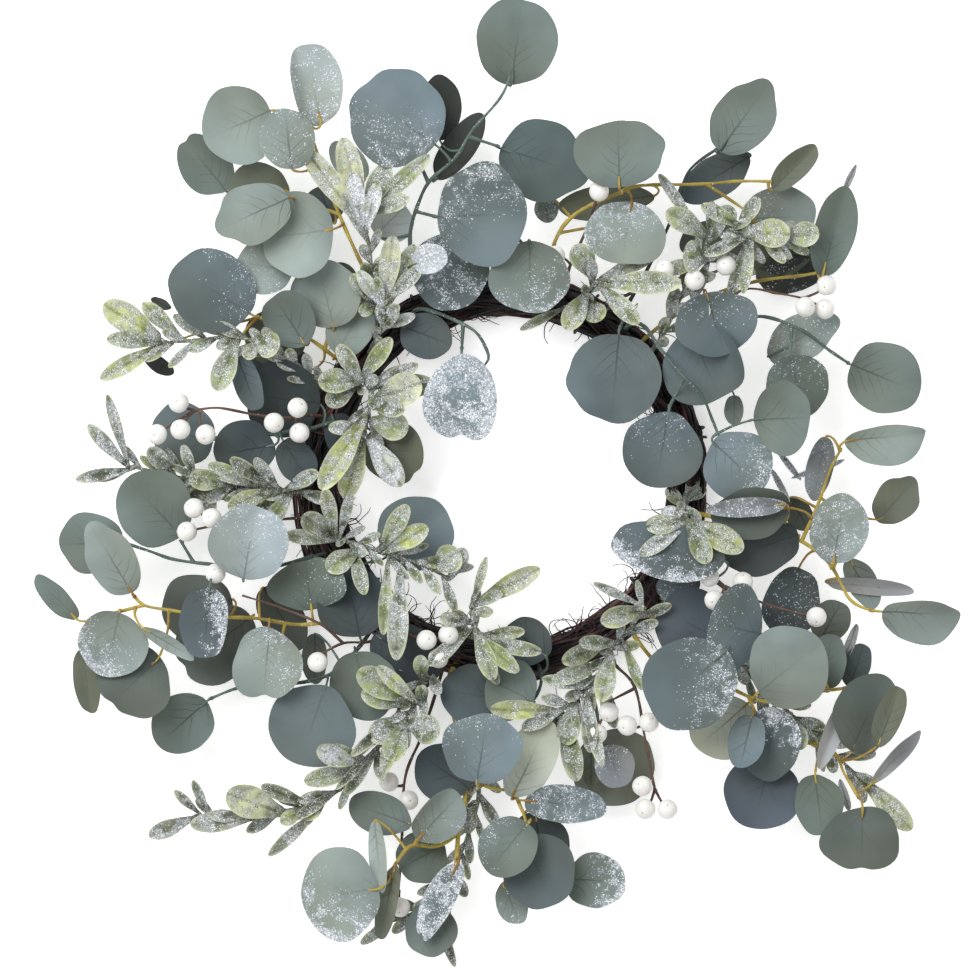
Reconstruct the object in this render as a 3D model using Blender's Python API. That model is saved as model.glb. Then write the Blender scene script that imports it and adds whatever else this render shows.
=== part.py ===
"""A frosted artificial eucalyptus wreath, lying on its back.

A ring of bound twigs carries wired eucalyptus sprays, frosted mistletoe sprigs and white berry picks. Every
stem stands in its own socket in the ring. Tables are in millimetres from the ring's centre: +X to the right
and +Y up as the wreath hangs, +Z out of its front. Blade rows give where the blade starts, where it ends, how
wide it looks from the front, and its layer, from 1 at the back to 5 at the front.
"""

import math
import random

import bmesh
import bpy
from mathutils import Matrix, Vector
from mathutils.bvhtree import BVHTree

MILLIMETRE = 0.001
UP = Vector((0.0, 0.0, 1.0))
SEED = 11

# Twig ring
RING_RADIUS = 111.0
RING_TUBE = 13.5
RING_CENTRE_HEIGHT = 10.5
RING_LOBES = 3
RING_LOBE_DEPTH = 1.3
RING_TWISTS = 8
RING_STEPS_AROUND = 40
RING_STEPS_ACROSS = 12
SOCKET_DEPTH_HEIGHT = 12.0
SOCKET_CLEARANCE = 0.45

# Stems
STEM_RADIUS = 1.6
BRANCH_RADIUS = 1.3
PEDICEL_RADIUS = 0.9
STEM_SIDES = 4
PEDICEL_SIDES = 4
TAPER = 0.25
SHORTEST_LEAN = 0.01

# Blades. A row is where it stands along the blade, its share of the leaf's half width, and if it has a midrib
LAYER_HEIGHTS = {1: 13.0, 2: 33.0, 3: 42.0, 4: 53.0, 5: 64.0}
EUCALYPTUS_ROWS = ((0.10, 0.58, False), (0.36, 0.97, True), (0.66, 0.95, True), (0.90, 0.58, False))
WIDE_LEAF = 34
SMALL_EUCALYPTUS_ROWS = ((0.14, 0.68, False), (0.50, 1.0, True), (0.86, 0.68, False))
MISTLETOE_ROWS = ((0.45, 0.85, False), (0.85, 0.90, False))
EUCALYPTUS_THICKNESS = 0.8
MISTLETOE_THICKNESS = 1.2
PETIOLE_HALF_WIDTH = 0.8
SHORTEST_TURN = 1.5
EUCALYPTUS_CUP = 0.16
MISTLETOE_ARCH = 3.0
MOST_ROLL = 0.30
LEAST_RISE = -6.0
MOST_RISE = 12.0
BERRY_RADIUS = 6.6
BERRY_SEGMENTS = 6
BERRY_RINGS = 4

# Room kept between neighbours that belong to different stems
CLEARANCE = 0.55
LOWEST = 2.5
LIFTS = (0, 2, 4, 6, 8, -2, 10, -4, 12, 14, -6, 16, 18, -8, 20, -10, 23, 26, 30, 34, 38)
REDRAWS = 16
LOOSE_DRAW = 6
FLAT_ANGLE = math.radians(1)
SAME_POINTS = (0.05, 0.08, 0.03, 0.12, 0.02, 0.2, 0.01)

EUCALYPTUS = {
    "eucalyptus_top_left": {
        "root": 127,
        "stem": [
            (-74, 104, 30), (-84, 124, 40), (-96, 150, 46), (-106, 175, 50), (-114, 200, 54),
            (-119, 218, 57),
        ],
        "branches": [[(-100, 158, 47), (-123, 165, 41), (-150, 169, 38), (-164, 171, 37)]],
        "blades": [
            (-110, 211, -118, 260, 33, 5),
            (-140, 220, -179, 202, 48, 4),
            (-127, 184, -132, 220, 33, 5),
            (-167, 172, -193, 204, 30, 2),
            (-130, 172, -166, 176, 30, 3),
            (-130, 167, -172, 148, 35, 5),
            (-103, 149, -146, 143, 51, 4),
            (-104, 154, -112, 176, 23, 2),
        ],
    },
    "eucalyptus_left_high": {
        "root": 145,
        "stem": [(-104, 74, 30), (-118, 84, 36), (-134, 92, 40), (-150, 97, 43)],
        "branches": [
            [(-118, 84, 36), (-119, 102, 34), (-124, 120, 34)],
            [(-108, 78, 32), (-104, 94, 30), (-96, 108, 26)],
        ],
        "blades": [
            (-152, 98, -197, 126, 48, 4),
            (-127, 124, -161, 130, 33, 3),
            (-103, 90, -112, 130, 43, 3),
            (-120, 80, -139, 110, 30, 2),
            (-120, 80, -156, 89, 33, 2),
            (-102, 74, -84, 104, 27, 3),
            (-161, 75, -148, 40, 16, 4),
        ],
    },
    "eucalyptus_top": {
        "root": 114.6,
        "stem": [
            (-54, 122, 32), (-57, 146, 42), (-51, 167, 50), (-44, 179, 54),
            (-30, 191, 57), (-20, 207, 59), (-3, 227, 60), (3, 240, 60),
        ],
        "branches": [
            [(-21, 204, 59), (-3, 198, 57)],
            [(-53, 160, 47), (-40, 156, 55)],
            [(-44, 177, 54), (-50, 186, 53)],
        ],
        "blades": [
            (-41, 199, -88, 232, 59, 4),
            (-39, 203, -39, 242, 25, 2),
            (-41, 180, -14, 218, 20, 2),
            (-40, 156, 13, 157, 61, 5),
            (4, 236, 10, 287, 47, 4),
            (-2, 197, 49, 182, 49, 4),
            (-78, 146, -60, 164, 30, 2),
        ],
    },
    "eucalyptus_top_inner": {
        "root": 120.5,
        "stem": [(-54, 101, 31), (-46, 101, 38), (-33, 96, 42), (-18, 88, 45), (-11, 77, 45)],
        "branches": [[(-24, 92, 44), (-26, 76, 48)]],
        "blades": [(-26, 73, -26, 21, 43, 4)],
    },
    "eucalyptus_top_centre": {
        "root": 82,
        "stem": [(15, 121, 30), (14, 135, 40), (6, 146, 42)],
        "branches": [],
        "blades": [(15, 141, 14, 98, 47, 4), (-16, 140, -51, 108, 45, 2)],
    },
    "eucalyptus_top_right": {
        "root": 78,
        "stem": [
            (28, 122, 30), (30, 142, 44), (42, 158, 50), (67, 170, 54), (81, 175, 54),
            (117, 176, 50), (141, 178, 46), (160, 178, 44),
        ],
        "branches": [[(120, 176, 50), (141, 163, 44), (149, 157, 42)], [(33, 147, 45), (48, 150, 42)]],
        "blades": [
            (68, 173, 67, 214, 54, 5),
            (76, 165, 69, 127, 48, 4),
            (90, 170, 33, 162, 21, 2),
            (144, 156, 188, 158, 37, 2),
        ],
    },
    "eucalyptus_corner_right": {
        "root": 55,
        "stem": [(76, 108, 28), (92, 138, 34), (104, 165, 38), (111, 185, 42), (128, 198, 46)],
        "branches": [],
        "blades": [(129, 196, 157, 236, 34, 4), (148, 194, 106, 169, 25, 2)],
    },
    "eucalyptus_right_high": {
        "root": 45,
        "stem": [(94, 92, 28), (120, 108, 34), (150, 118, 36), (180, 122, 38), (190, 124, 40)],
        "branches": [],
        "blades": [
            (190, 121, 203, 173, 25, 4),
            (120, 111, 131, 74, 50, 4),
        ],
    },
    "eucalyptus_right": {
        "root": 35,
        "stem": [
            (108, 76, 30), (130, 90, 40), (153, 97, 44), (177, 89, 48), (195, 76, 50), (207, 68, 50),
        ],
        "branches": [[(171, 91, 47), (171, 77, 50)]],
        "blades": [
            (171, 74, 179, 37, 38, 4),
            (158, 73, 199, 96, 27, 3),
            (207, 68, 248, 51, 43, 4),
            (110, 88, 130, 47, 52, 3),
        ],
    },
    "eucalyptus_right_inner": {
        "root": 51,
        "stem": [
            (76, 93, 30), (84, 91, 38), (93, 77, 46), (105, 62, 50), (117, 50, 52), (124, 35, 52),
            (128, 25, 52),
        ],
        "branches": [[(84, 91, 39), (73, 96, 44), (68, 88, 48)], [(108, 59, 50), (98, 42, 50)]],
        "blades": [
            (68, 86, 64, 34, 58, 4),
            (98, 40, 90, -5, 48, 4),
            (124, 22, 154, -6, 43, 4),
            (149, 35, 182, 36, 43, 5),
        ],
    },
    "eucalyptus_right_low": {
        "root": -10,
        "stem": [
            (128, -24, 28), (155, -30, 38), (178, -38, 44), (195, -52, 48), (207, -73, 48),
            (221, -80, 48),
        ],
        "branches": [[(178, -38, 44), (188, -15, 46), (195, 5, 46), (202, 18, 46)]],
        "blades": [
            (204, 22, 252, 27, 30, 4),
            (224, -25, 247, -1, 24, 3),
            (196, -51, 202, -10, 34, 5),
            (226, -80, 273, -82, 36, 4),
            (171, -18, 124, -24, 31, 4),
            (176, -34, 131, -49, 33, 2),
            (177, -54, 168, -97, 35, 2),
        ],
    },
    "eucalyptus_lower_right_inner": {
        "root": -28,
        "stem": [(116, -56, 30), (134, -68, 40), (146, -84, 46), (150, -95, 48)],
        "branches": [[(142, -79, 44), (138, -92, 46), (133, -101, 50)]],
        "blades": [
            (132, -50, 64, -37, 34, 3),
            (130, -97, 93, -79, 45, 2),
            (131, -103, 88, -142, 53, 5),
            (153, -93, 122, -86, 54, 4),
        ],
    },
    "eucalyptus_lower_right": {
        "root": -43,
        "stem": [
            (98, -94, 30), (120, -116, 40), (146, -131, 48), (165, -134, 50), (190, -128, 48),
            (205, -126, 46),
        ],
        "branches": [[(146, -131, 48), (154, -150, 43), (160, -168, 38)]],
        "blades": [
            (151, -128, 188, -98, 51, 5),
            (192, -127, 196, -94, 22, 3),
            (190, -97, 202, -74, 23, 2),
            (146, -135, 116, -162, 40, 3),
            (148, -142, 140, -173, 22, 4),
            (162, -137, 156, -181, 35, 3),
            (160, -170, 148, -210, 47, 2),
            (207, -127, 188, -173, 12, 4),
        ],
    },
    "eucalyptus_corner_low": {
        "root": -50,
        "stem": [
            (88, -108, 26), (120, -140, 28), (160, -155, 26), (195, -163, 38), (204, -178, 42),
            (213, -193, 46),
        ],
        "branches": [],
        "blades": [
            (207, -164, 227, -119, 41, 4),
            (186, -177, 190, -214, 29, 3),
            (214, -197, 213, -236, 47, 4),
        ],
    },
    "eucalyptus_left_low": {
        "root": 220,
        "stem": [
            (-98, -84, 30), (-123, -88, 44), (-150, -84, 50), (-174, -83, 54),
            (-201, -79, 56), (-216, -76, 57), (-223, -69, 58),
        ],
        "branches": [[(-216, -78, 57), (-231, -80, 57), (-249, -84, 56)]],
        "blades": [
            (-223, -68, -247, -28, 29, 5),
            (-256, -85, -281, -59, 14, 4),
            (-230, -80, -239, -118, 42, 5),
            (-207, -107, -236, -136, 46, 4),
            (-164, -73, -205, -86, 45, 2),
            (-153, -84, -195, -115, 45, 2),
            (-141, -89, -144, -133, 41, 5),
            (-116, -80, -120, -49, 48, 3),
        ],
    },
    "eucalyptus_left_green": {
        "root": 203,
        "stem": [
            (-118, -48, 28), (-145, -54, 38), (-174, -52, 42), (-198, -49, 44), (-213, -44, 44),
            (-228, -39, 44),
        ],
        "branches": [[(-188, -50, 43), (-195, -37, 46)], [(-116, -48, 27), (-98, -54, 32), (-79, -50, 34)]],
        "blades": [
            (-229, -38, -268, -40, 37, 3),
            (-194, -35, -226, -1, 47, 4),
            (-156, -61, -149, -17, 47, 5),
            (-176, -64, -180, -107, 29, 4),
            (-72, -48, -36, -19, 45, 2),
        ],
    },
    "eucalyptus_left_bottom": {
        "root": 228,
        "stem": [
            (-88, -102, 28), (-105, -118, 36), (-130, -124, 38), (-156, -125, 38), (-178, -133, 38),
        ],
        "branches": [],
        "blades": [
            (-179, -134, -208, -160, 36, 3),
            (-107, -124, -124, -171, 53, 4),
            (-90, -104, -80, -145, 41, 3),
            (-87, -96, -96, -55, 42, 2),
        ],
    },
    "eucalyptus_bottom_left": {
        "root": 256,
        "stem": [
            (-34, -124, 26), (-28, -155, 30), (-24, -190, 34), (-28, -212, 40), (-42, -221, 44),
            (-57, -221, 47), (-70, -238, 52),
        ],
        "branches": [[(-28, -212, 40), (-30, -235, 42), (-36, -252, 40)]],
        "blades": [
            (-21, -187, -51, -166, 36, 2),
            (-52, -216, -27, -189, 29, 4),
            (-56, -208, -93, -195, 25, 3),
            (-36, -220, -63, -235, 32, 2),
            (-75, -245, -120, -251, 57, 5),
            (-78, -205, -74, -247, 11, 4),
            (-66, -232, -75, -277, 12, 4),
            (-39, -256, -50, -286, 31, 2),
            (-28, -230, -51, -276, 18, 4),
        ],
    },
    "eucalyptus_bottom": {
        "root": 266,
        "stem": [
            (-2, -130, 26), (2, -160, 34), (6, -188, 42), (12, -204, 46), (14, -220, 44),
            (20, -238, 40), (34, -241, 38),
        ],
        "branches": [[(6, -188, 42), (-8, -186, 48), (-15, -183, 54)]],
        "blades": [
            (-17, -182, -11, -140, 48, 5),
            (4, -192, 26, -146, 30, 3),
            (14, -206, -10, -234, 35, 5),
            (18, -200, 24, -241, 35, 3),
            (9, -214, 30, -255, 44, 2),
            (36, -241, 72, -242, 33, 3),
            (11, -193, 60, -197, 23, 4),
        ],
    },
    "eucalyptus_bottom_inner": {
        "root": 280,
        "stem": [(22, -122, 30), (16, -134, 36), (2, -136, 37)],
        "branches": [],
        "blades": [(-3, -133, -38, -127, 37, 2), (17, -134, -10, -121, 36, 3), (25, -108, 2, -88, 27, 2)],
    },
    "eucalyptus_bottom_right": {
        "root": 295,
        "stem": [(52, -122, 26), (56, -145, 30), (58, -154, 32)],
        "branches": [],
        "blades": [(57, -154, 75, -196, 50, 1), (61, -160, 70, -185, 24, 3)],
    },
    "eucalyptus_left": {
        "root": 165,
        "stem": [(-122, 30, 28), (-142, 26, 34), (-178, 24, 37)],
        "branches": [[(-118, 30, 26), (-100, 34, 32), (-84, 30, 34)]],
        "blades": [
            (-112, 45, -156, 50, 45, 1),
            (-138, 20, -174, 14, 36, 3),
            (-175, 23, -213, 29, 40, 2),
            (-133, 22, -116, -4, 22, 3),
            (-81, 29, -54, 2, 36, 2),
        ],
    },
}

MISTLETOE = {
    "mistletoe_top_left": {
        "root": 133,
        "stem": [(-79, 100, 32), (-80, 118, 44), (-81, 137, 54), (-86, 158, 60)],
        "branches": [],
        "blades": [
            (-93, 158, -120, 197, 11, 5),
            (-84, 173, -96, 203, 12, 5),
            (-75, 170, -45, 193, 9, 5),
            (-78, 167, -72, 188, 12, 5),
            (-73, 164, -57, 167, 9, 5),
        ],
    },
    "mistletoe_high": {
        "root": 139,
        "stem": [(-79, 81, 32), (-74, 90, 42), (-72, 104, 48)],
        "branches": [],
        "blades": [
            (-72, 107, -67, 145, 11, 4),
            (-65, 107, -54, 140, 10, 4),
        ],
    },
    "mistletoe_inner_left": {
        "root": 151,
        "stem": [(-88, 56, 32), (-80, 52, 40), (-82, 38, 42), (-85, 25, 42)],
        "branches": [],
        "blades": [
            (-84, 68, -112, 58, 13, 3),
            (-90, 56, -107, 44, 11, 3),
            (-72, 47, -52, 56, 15, 4),
            (-63, 62, -42, 56, 12, 3),
            (-78, 35, -58, 29, 15, 4),
            (-87, 38, -110, -7, 11, 5),
            (-87, 17, -96, -12, 11, 4),
            (-78, 20, -65, -5, 11, 4),
        ],
    },
    "mistletoe_left_high": {
        "root": 155,
        "stem": [(-114, 58, 28), (-135, 76, 46), (-160, 84, 54), (-190, 82, 56), (-205, 81, 56)],
        "branches": [],
        "blades": [
            (-213, 89, -240, 104, 15, 5),
            (-204, 82, -238, 83, 9, 4),
            (-207, 77, -242, 59, 9, 4),
            (-195, 92, -217, 105, 9, 4),
            (-159, 90, -185, 95, 9, 4),
            (-150, 86, -135, 77, 14, 5),
            (-161, 80, -172, 52, 12, 5),
        ],
    },
    "mistletoe_left": {
        "root": 184,
        "stem": [(-128, -8, 28), (-160, -4, 38), (-189, -1, 42), (-225, 7, 44)],
        "branches": [],
        "blades": [
            (-237, 8, -250, 32, 9, 4),
            (-198, 5, -213, 18, 11, 4),
            (-165, -2, -189, 0, 11, 4),
            (-180, -8, -176, -22, 9, 3),
        ],
    },
    "mistletoe_inner_low": {
        "root": 197,
        "stem": [(-98, -37, 34), (-75, -44, 44), (-50, -52, 46), (-34, -60, 46)],
        "branches": [],
        "blades": [
            (-75, -40, -58, -16, 10, 5),
            (-72, -43, -46, -29, 11, 5),
            (-90, -49, -107, -55, 12, 4),
            (-45, -55, -27, -44, 15, 4),
            (-26, -66, -24, -42, 11, 4),
            (-69, -73, -65, -109, 13, 4),
        ],
    },
    "mistletoe_bottom_inner": {
        "root": 262,
        "stem": [(-16, -100, 32), (-20, -85, 40), (-20, -75, 42)],
        "branches": [],
        "blades": [
            (-12, -70, 21, -54, 11, 4),
            (-15, -88, -7, -121, 10, 4),
        ],
    },
    "mistletoe_bottom": {
        "root": 303,
        "stem": [(62, -104, 32), (56, -118, 40), (44, -132, 42), (32, -140, 44)],
        "branches": [[(62, -105, 33), (74, -92, 40), (84, -78, 42)]],
        "blades": [
            (63, -97, 34, -110, 10, 4),
            (24, -140, -9, -138, 10, 4),
            (42, -136, 36, -160, 12, 4),
            (40, -150, 43, -182, 11, 3),
            (52, -133, 51, -164, 10, 4),
            (66, -106, 57, -133, 11, 5),
            (87, -73, 57, -86, 11, 4),
        ],
    },
    "mistletoe_left_low": {
        "root": 240,
        "stem": [
            (-58, -116, 28), (-66, -145, 36), (-84, -172, 42), (-104, -190, 44), (-129, -199, 46),
            (-160, -203, 46), (-187, -203, 46),
        ],
        "branches": [],
        "blades": [
            (-189, -205, -213, -214, 11, 4),
            (-153, -205, -177, -198, 12, 4),
            (-129, -202, -164, -190, 21, 5),
            (-117, -190, -144, -185, 12, 4),
            (-87, -175, -120, -181, 10, 4),
            (-84, -169, -111, -163, 12, 4),
            (-108, -190, -121, -204, 9, 4),
        ],
    },
    "mistletoe_low_cluster": {
        "root": 247,
        "stem": [(-46, -118, 34), (-54, -134, 46), (-60, -146, 50)],
        "branches": [],
        "blades": [
            (-57, -133, -88, -115, 15, 5),
            (-63, -132, -86, -128, 12, 4),
            (-63, -142, -81, -156, 13, 4),
            (-63, -148, -69, -169, 13, 5),
            (-58, -154, -39, -152, 15, 5),
        ],
    },
    "mistletoe_top_inner": {
        "root": 66,
        "stem": [(48, 106, 32), (52, 115, 42), (56, 119, 46)],
        "branches": [],
        "blades": [
            (60, 113, 80, 92, 10, 4),
            (48, 113, 36, 89, 12, 4),
            (51, 107, 57, 94, 12, 4),
            (51, 125, 42, 140, 13, 3),
            (57, 116, 105, 116, 12, 5),
            (60, 122, 90, 134, 10, 4),
        ],
    },
    "mistletoe_right_high": {
        "root": 40,
        "stem": [
            (96, 88, 34), (106, 110, 46), (118, 132, 54), (124, 146, 58), (145, 147, 57),
            (166, 144, 55),
        ],
        "branches": [],
        "blades": [
            (120, 145, 96, 159, 12, 5),
            (126, 130, 106, 132, 17, 5),
            (122, 155, 137, 162, 11, 4),
            (142, 148, 170, 145, 15, 5),
            (168, 143, 187, 146, 13, 5),
        ],
    },
    "mistletoe_right": {
        "root": -3,
        "stem": [(108, -14, 32), (110, -27, 42)],
        "branches": [],
        "blades": [
            (111, -25, 142, -42, 13, 4),
            (108, -31, 122, -49, 12, 4),
            (108, -25, 83, -30, 11, 4),
        ],
    },
    "mistletoe_corner_low": {
        "root": -37,
        "stem": [(108, -84, 26), (140, -112, 30), (172, -142, 34), (195, -163, 26), (215, -182, 30)],
        "branches": [],
        "blades": [(173, -142, 177, -163, 11, 3), (220, -184, 244, -211, 12, 3)],
    },
    "mistletoe_bottom_tail": {
        "root": 259,
        "stem": [
            (-20, -128, 22), (-18, -160, 24), (-16, -193, 27), (-26, -225, 29), (-39, -253, 30),
            (-60, -264, 32), (-72, -268, 32),
        ],
        "branches": [],
        "blades": [(-39, -262, -30, -294, 6, 2), (-72, -268, -81, -276, 7, 2)],
    },
}

BERRIES = {
    "berries_left": {
        "root": 161,
        "stem": [(-118, 38, 32), (-130, 36, 46), (-150, 38, 52), (-172, 42, 54), (-188, 40, 54)],
        "branches": [],
        "berries": [
            (-195, 45, 60), (-208, 26, 58), (-194, 29, 60), (-179, 26, 58),
            (-138, 33, 62), (-124, 42, 60), (-123, 27, 56),
        ],
    },
    "berries_left_low": {
        "root": 192,
        "stem": [(-124, -24, 30), (-150, -26, 48), (-172, -28, 56)],
        "branches": [[(-158, -27, 51), (-168, -45, 56)]],
        "berries": [(-190, -32, 60), (-186, -18, 60), (-175, -24, 66), (-173, -57, 60)],
    },
    "berries_low_left": {
        "root": 233,
        "stem": [(-80, -98, 36), (-97, -99, 50), (-111, -106, 58)],
        "branches": [[(-97, -98, 51), (-111, -87, 60), (-135, -77, 66), (-157, -70, 66)]],
        "berries": [(-112, -110, 62)],
    },
    "berries_bottom_inner": {
        "root": 236.5,
        "stem": [(-58, -94, 36), (-46, -98, 46)],
        "branches": [],
        "berries": [(-47, -97, 54), (-34, -94, 50), (-40, -108, 50)],
    },
    "berries_top": {
        "root": 71,
        "stem": [(38, 124, 32), (47, 145, 46), (54, 164, 60)],
        "branches": [],
        "berries": [(56, 171, 66), (30, 133, 52)],
    },
    "berries_top_right": {
        "root": 60,
        "stem": [(70, 108, 38), (88, 116, 52), (100, 119, 56), (126, 123, 52)],
        "branches": [],
        "berries": [(95, 124, 64), (113, 118, 66), (132, 127, 58)],
    },
    "berries_right": {
        "root": 30,
        "stem": [(112, 64, 36), (124, 90, 54), (141, 112, 58), (165, 110, 58), (180, 107, 58)],
        "branches": [],
        "berries": [(192, 115, 60), (191, 101, 60), (179, 102, 66)],
    },
    "berries_lower_right": {
        "root": -22,
        "stem": [(112, -48, 36), (124, -58, 52), (133, -66, 56)],
        "branches": [[(133, -66, 56), (155, -75, 58), (180, -82, 58)]],
        "berries": [(122, -59, 60), (125, -73, 62), (142, -62, 60), (186, -83, 60)],
    },
    "berries_bottom_right": {
        "root": 299,
        "stem": [(66, -112, 34), (78, -126, 48), (84, -157, 52), (90, -188, 54)],
        "branches": [[(78, -126, 48), (62, -134, 52)]],
        "berries": [
            (62, -140, 58), (73, -148, 58), (86, -146, 60), (55, -153, 56), (82, -184, 60),
            (84, -198, 58), (97, -198, 60),
        ],
    },
    "berries_bottom_left": {
        "root": 251.5,
        "stem": [(-40, -124, 22), (-50, -155, 25), (-60, -180, 28), (-62, -215, 28), (-64, -250, 32)],
        "branches": [],
        "berries": [(-70, -183, 32), (-58, -194, 34), (-63, -258, 38)],
    },
}

# Name: colour, roughness
FINISHES = {
    "twig": ((0.055, 0.032, 0.028, 1), 0.85),
    "eucalyptus": ((0.29, 0.36, 0.34, 1), 0.7),
    "mistletoe": ((0.33, 0.38, 0.16, 1), 0.65),
    "berry": ((0.85, 0.83, 0.78, 1), 0.35),
}


def clear_scene():
    for thing in list(bpy.data.objects):
        bpy.data.objects.remove(thing)


def finish(name):
    colour, roughness = FINISHES[name]
    material = bpy.data.materials.get(name) or bpy.data.materials.new(name)
    material.use_nodes = True
    shader = material.node_tree.nodes["Principled BSDF"]
    shader.inputs["Base Color"].default_value = colour
    shader.inputs["Roughness"].default_value = roughness
    shader.inputs["Metallic"].default_value = 0
    return material


def nearest_on_routes(point, routes):
    """The point of these polylines that lies nearest in plan."""
    best = None
    for route in routes:
        for start, end in zip(route, route[1:]):
            along = (end - start).xy
            share = (point.xy - start.xy).dot(along) / max(along.length_squared, SHORTEST_LEAN)
            found = start.lerp(end, min(1.0, max(0.0, share)))
            if best is None or (found.xy - point.xy).length < (best.xy - point.xy).length:
                best = found
    return best


def growing_routes(routes):
    """The routes without the stretch that is sunk in the ring, which nothing grows from."""
    return [routes[0][1:]] + routes[1:]


def ring_point(degrees, height):
    angle = math.radians(degrees)
    return Vector((RING_RADIUS * math.cos(angle), RING_RADIUS * math.sin(angle), height))


def add_tube(bm, route, radius, sides):
    """A closed tube along the route that doesn't twist, its end thinner than its start."""
    rings = []
    side = (route[1] - route[0]).cross(UP)
    if side.length < SHORTEST_LEAN:
        side = Vector((1.0, 0.0, 0.0))
    for index, centre in enumerate(route):
        before = route[max(index - 1, 0)]
        after = route[min(index + 1, len(route) - 1)]
        along = (after - before).normalized()
        side = (side - along * side.dot(along)).normalized()
        up = side.cross(along)
        reach = radius * (1.0 - TAPER * index / (len(route) - 1))
        turns = [2 * math.pi * (step + 0.5) / sides for step in range(sides)]
        rings.append([bm.verts.new(centre + reach * (math.cos(t) * side + math.sin(t) * up)) for t in turns])
    for near, far in zip(rings, rings[1:]):
        for step in range(sides):
            following = (step + 1) % sides
            bm.faces.new((near[step], near[following], far[following], far[step]))
    bm.faces.new(rings[0][::-1])
    bm.faces.new(rings[-1])


def level_side(direction):
    """The level direction to the left of this one."""
    return Vector((-direction.y, direction.x, 0.0)).normalized()


def petiole_sides(root, base, along):
    """The petiole's left at its root and at its blade, so that it never turns edge on or crosses itself."""
    reach = Vector((base.x - root.x, base.y - root.y, 0.0))
    plan = Vector((along.x, along.y, 0.0)).normalized()
    if reach.length < SHORTEST_TURN:
        return level_side(plan), level_side(plan)
    if reach.dot(plan) < 0.0:
        return -level_side(reach), level_side(plan)
    return level_side(reach), level_side(reach.normalized() + plan)


def rows_of(kind, width):
    if kind == "mistletoe":
        return MISTLETOE_ROWS
    return EUCALYPTUS_ROWS if width >= WIDE_LEAF else SMALL_EUCALYPTUS_ROWS


def add_blade(bm, root, base, tip, width, roll, kind, thickness, bare):
    """One blade on its flat petiole: a folded or arched sheet in triangles, then given its thickness."""
    along = tip - base
    side = level_side(along)
    half = width / 2
    rows = rows_of(kind, width)

    def place(share, across):
        arch = MISTLETOE_ARCH * math.sin(math.pi * share) if kind == "mistletoe" else 0.0
        lift = roll * across * half + EUCALYPTUS_CUP * abs(across) * half * (kind == "eucalyptus") + arch
        return base + along * share + side * (across * half) + Vector((0.0, 0.0, lift))

    root_side, base_side = petiole_sides(root, base, along)
    grid = []
    if not bare:
        grid.append([bm.verts.new(root + root_side * PETIOLE_HALF_WIDTH * turn) for turn in (1, -1)])
    if kind == "eucalyptus":
        grid.append([bm.verts.new(base + base_side * PETIOLE_HALF_WIDTH * turn) for turn in (1, -1)])
    for share, reach, ribbed in rows:
        columns = (reach, 0.0, -reach) if ribbed else (reach, -reach)
        grid.append([bm.verts.new(place(share, across)) for across in columns])
    grid.append([bm.verts.new(place(1.0, 0.0))])
    sheet = []
    for near, far in zip(grid, grid[1:]):
        sheet += fill_between(bm, near, far)
    bmesh.ops.recalc_face_normals(bm, faces=sheet)
    bmesh.ops.solidify(bm, geom=sheet, thickness=thickness)


def fill_between(bm, near, far):
    """Triangles between two rows of one, two or three points each."""
    if len(near) == 3 and len(far) == 3:
        return fill_between(bm, near[:2], far[:2]) + fill_between(bm, near[1:], far[1:])
    if len(near) == 2 and len(far) == 2:
        return [bm.faces.new((near[0], far[0], near[1])), bm.faces.new((near[1], far[0], far[1]))]
    if len(near) + len(far) == 5:
        few, many = (near, far) if len(near) == 2 else (far, near)
        return [
            bm.faces.new((few[0], many[0], many[1])),
            bm.faces.new((few[0], many[1], few[1])),
            bm.faces.new((few[1], many[1], many[2])),
        ]
    return [bm.faces.new((near[step], far[0], near[step + 1])) for step in range(len(near) - 1)]


def add_berry(bm, centre, extra):
    made = bmesh.ops.create_uvsphere(
        bm, u_segments=BERRY_SEGMENTS, v_segments=BERRY_RINGS, radius=BERRY_RADIUS + extra
    )
    bmesh.ops.translate(bm, verts=made["verts"], vec=centre)


def blade_shape(blade, extra, bare=False):
    """The blade as a solid, with its petiole unless bare."""
    bm = bmesh.new()
    add_blade(
        bm, blade["root"], blade["base"], blade["tip"], blade["width"], blade["roll"], blade["kind"],
        blade["thickness"] + 2 * extra, bare,
    )
    return bm


def berry_shapes(berry, extra):
    """The fruit and its pedicel, as two closed solids."""
    fruit = bmesh.new()
    add_berry(fruit, berry["centre"], extra)
    pedicel = bmesh.new()
    add_tube(pedicel, [berry["root"], berry["centre"]], PEDICEL_RADIUS + extra, PEDICEL_SIDES)
    return [fruit, pedicel]


def routes_of(plant):
    """The stem from inside the ring, and its branches, each starting on what is there already."""
    routes = [[ring_point(plant["root"], SOCKET_DEPTH_HEIGHT)] + [Vector(p) for p in plant["stem"]]]
    for branch in plant["branches"]:
        points = [Vector(p) for p in branch]
        points[0] = nearest_on_routes(points[0], routes)
        routes.append(points)
    return routes


def stem_shapes(plant, extra):
    shapes = []
    for index, route in enumerate(plant["routes"]):
        bm = bmesh.new()
        add_tube(bm, route, (BRANCH_RADIUS if index else STEM_RADIUS) + extra, STEM_SIDES)
        shapes.append(bm)
    return shapes


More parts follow.
